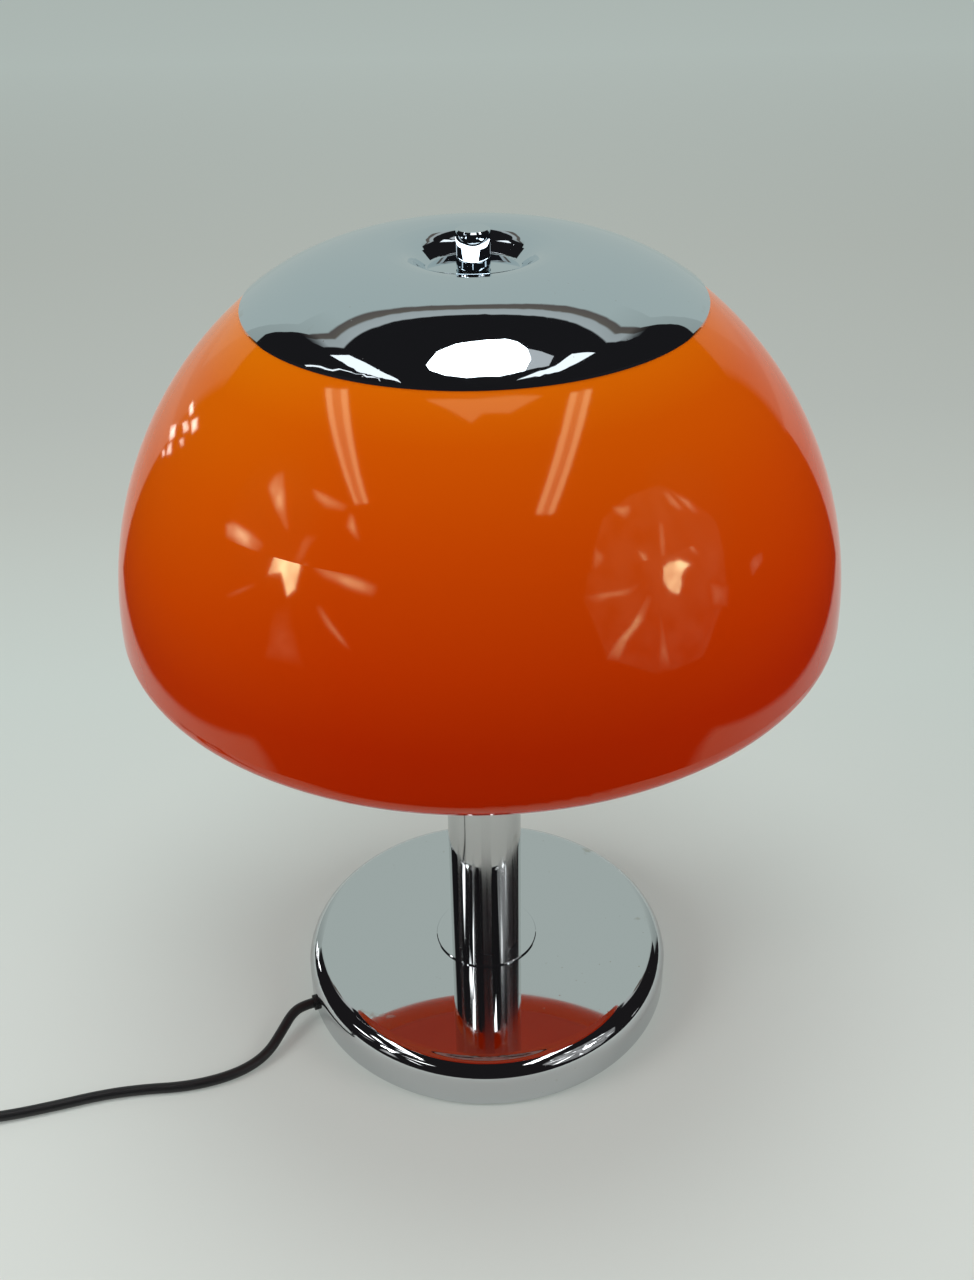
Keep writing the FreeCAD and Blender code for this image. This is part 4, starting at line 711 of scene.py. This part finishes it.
def chrome(name, colour, specks, smears, streaks=0.0):
    """Polished plating with its own amount of specks, smears and long streaks."""
    material, shader = new_material(name, colour, 0.02, metallic=1.0)
    worn = use_group(material, worn_plating, Specks=specks, Smears=smears, Streaks=streaks,
                     Plating=(*colour, 1))
    links = material.node_tree.links
    links.new(worn.outputs["Roughness"], shader.inputs["Roughness"])
    links.new(worn.outputs["Colour"], shader.inputs["Base Color"])
    bump(material, shader, worn.outputs["Height"], 0.05, 0.0001)
    return material


foot_chrome = chrome("foot_chrome", (0.73, 0.755, 0.775), 1.0, 1.0)


def plain_metal(name, colour, roughness):
    """Unpolished metal with a fine grain."""
    material, shader = new_material(name, colour, roughness, metallic=1.0)
    grain = use_group(material, fine_grain, Scale=420.0)
    bump(material, shader, grain.outputs["Height"], 0.15, 0.0001)
    return material


zinc_steel = plain_metal("zinc_steel", (0.55, 0.55, 0.54), 0.35)
black_rubber = moulded("black_rubber", (0.012, 0.012, 0.012), 0.4)
finish(foot_chrome, "base_shell", "stem_rosette")
finish(moulded("cast_iron", (0.05, 0.05, 0.05), 0.5, 250.0), "base_weight")
finish(zinc_steel, "base_cover", "cover_screws")
finish(moulded("felt", (0.02, 0.02, 0.02), 0.6, 1500.0), "base_felt")


# ---------------------------------------------------------------- Mains entry
# The cord comes in through a rubber grommet. A plastic bar with two screws clamps it, and its
# cores end in a porcelain terminal block. The hand switch has screws of the same zinc-plated steel.

porcelain = moulded("porcelain", (0.82, 0.81, 0.77), 0.1)
black_moulding = moulded("holder_plastic", (0.02, 0.02, 0.02), 0.2)
finish(black_rubber, "cord_grommet")
finish(cord_sheath, "inner_lead")
finish(black_moulding, "clamp_bar")
finish(porcelain, "terminal_block")
finish(zinc_steel, "clamp_screws", "terminal_screws", "switch_screws")


# ---------------------------------------------------------------- Stem
# A drawn steel tube with a lid, chrome-plated and streaked along its length by years of wiping.
# The hollow threaded rod inside it holds the whole lamp together with its washer and nuts.

stem_chrome = chrome("stem_chrome", (0.72, 0.735, 0.73), 0.7, 0.7, 1.0)
finish(stem_chrome, "stem_tube", "stem_head")
finish(zinc_steel, "stem_foot", "threaded_rod", "rod_washer", "lock_nuts")


# ---------------------------------------------------------------- Lampholders
# A steel bridge with three arms carries three lampholders: black moulded cup and sleeve, porcelain
# core, and thread shell and sprung contact of brass. White leads come to them out of the rod. The
# mains plug's pins are of the same brass.

brass = plain_metal("brass", (0.70, 0.50, 0.22), 0.28)
finish(zinc_steel, "holder_bridge", "holder_nipples")
finish(porcelain, "holder_cores")
finish(brass, "centre_contacts", "plug_pins")
finish(moulded("lead_white", (0.75, 0.75, 0.72), 0.2), "holder_leads")
for holder in (1, 2, 3):
    finish(black_moulding, f"holder_cup_{holder}", f"holder_sleeve_{holder}")
    finish(brass, f"thread_shell_{holder}")


# ---------------------------------------------------------------- Bulbs
# Three clear bulbs of blown glass, each cemented into a brass screw cap. The filament stands on a
# glass stem in the middle.


def clear_glass():
    """Blown glass with faint smears of handling."""
    material, shader = new_material("clear_glass", (1, 1, 1), 0.0)
    shader.inputs["Transmission Weight"].default_value = 1.0
    shader.inputs["IOR"].default_value = 1.45
    tree = material.node_tree
    place = tree.nodes.new("ShaderNodeTexCoord").outputs["Object"]
    smears = add_node(tree, "ShaderNodeTexNoise", Vector=place, Scale=30.0, Detail=4.0)
    rough = map_range(tree, smears.outputs["Fac"], 0.52, 0.8, 0.0, 0.08)
    tree.links.new(rough, shader.inputs["Roughness"])
    return material


glass = clear_glass()
for bulb in (1, 2, 3):
    finish(glass, f"bulb_glass_{bulb}", f"bulb_filament_{bulb}")
    finish(brass, f"bulb_cap_{bulb}")


# ---------------------------------------------------------------- Carrier plate
# A white-painted steel plate with vent holes and a rubber edge, on which the dome hangs. A steel
# tube above it keeps the cap at its height.

finish(moulded("white_paint", (0.8, 0.79, 0.75), 0.2), "carrier_plate")
finish(black_rubber, "plate_gasket")
finish(zinc_steel, "cap_spacer")


# ---------------------------------------------------------------- Dome
# Blow-moulded acrylic, 3 mm thick, dyed orange right through and glossy on both faces. It lets
# some light through. Painted light and shade make it paler near its mouth, where light falls from
# above, and deepen it to red towards its lower edge.

shades_bottom = 0.28
shades_top = 0.475
body_share = 0.72
glow_share = 0.26
inner_painted_glow = (0.60, 0.105, 0.066, 1)
# Painted light and shade, from the lower edge up to the mouth: darker below, paler above where light
# falls.
acrylic_painted_light = [
    (0.0, (0.44, 0.017, 0.0002)),
    (0.25, (0.51, 0.023, 0.0002)),
    (0.45, (0.60, 0.041, 0.0002)),
    (0.70, (0.65, 0.067, 0.0003)),
    (0.88, (0.68, 0.096, 0.0003)),
    (1.0, (0.74, 0.150, 0.001)),
]


def make_acrylic():
    """Dyed, glossy acrylic with painted light and shade, that glows faintly as if with the room's light.
    """
    material, shader = new_material("orange_acrylic", (0.6, 0.08, 0.0), 0.06)
    tree = material.node_tree
    place = tree.nodes.new("ShaderNodeTexCoord").outputs["Object"]
    split = add_node(tree, "ShaderNodeSeparateXYZ", Vector=place)
    # Painted light and shade: the colour is paler higher up, where the light from above falls.
    painted_light_colour = shades(tree, map_range(tree, split.outputs["Z"], shades_bottom, shades_top), acrylic_painted_light)
    # Painted light: the wall is more yellow towards the left, where window light comes through it.
    painted_window_light = tree.nodes.new("ShaderNodeVectorMath")
    painted_window_light.operation = "MULTIPLY"
    tree.links.new(painted_light_colour, painted_window_light.inputs[0])
    painted_window_light.inputs[1].default_value = (1.0, 1.55, 1.0)
    painted_light_colour = blend(tree, map_range(tree, split.outputs["X"], -0.06, -0.17), painted_light_colour, painted_window_light.outputs[0])
    body = tree.nodes.new("ShaderNodeVectorMath")
    body.operation = "SCALE"
    tree.links.new(painted_light_colour, body.inputs[0])
    body.inputs["Scale"].default_value = body_share
    tree.links.new(body.outputs[0], shader.inputs["Base Color"])
    # Painted light: the wall glows with light that comes through it. The inner face glows a little paler
    # and duller.
    inward = tree.nodes.new("ShaderNodeVectorMath")
    inward.operation = "DOT_PRODUCT"
    tree.links.new(tree.nodes.new("ShaderNodeNewGeometry").outputs["True Normal"], inward.inputs[0])
    level = tree.nodes.new("ShaderNodeVectorMath")
    level.operation = "MULTIPLY"
    tree.links.new(place, level.inputs[0])
    level.inputs[1].default_value = (1, 1, 0)
    tree.links.new(level.outputs[0], inward.inputs[1])
    inside = map_range(tree, inward.outputs["Value"], 0.0, -0.004)
    tree.links.new(blend(tree, inside, painted_light_colour, inner_painted_glow), shader.inputs["Emission Color"])
    shader.inputs["Emission Strength"].default_value = glow_share
    shader.inputs["IOR"].default_value = 1.49
    shader.inputs["Specular Tint"].default_value = (1.0, 0.92, 0.45, 1)
    grain = use_group(material, fine_grain, Scale=60.0)
    bump(material, shader, grain.outputs["Height"], 0.02, 0.0005)
    return material


finish(make_acrylic(), "dome")


# ---------------------------------------------------------------- Cap and knob
# A spun steel disc with a dimple and a turned knob in it, both chrome-plated like the foot, with a
# cooler tint. A thin black washer under the knob keeps it from scratching the cap.

cap_chrome = chrome("cap_chrome", (0.69, 0.775, 0.83), 0.5, 0.6)
finish(cap_chrome, "cap", "knob")
finish(black_rubber, "knob_washer")
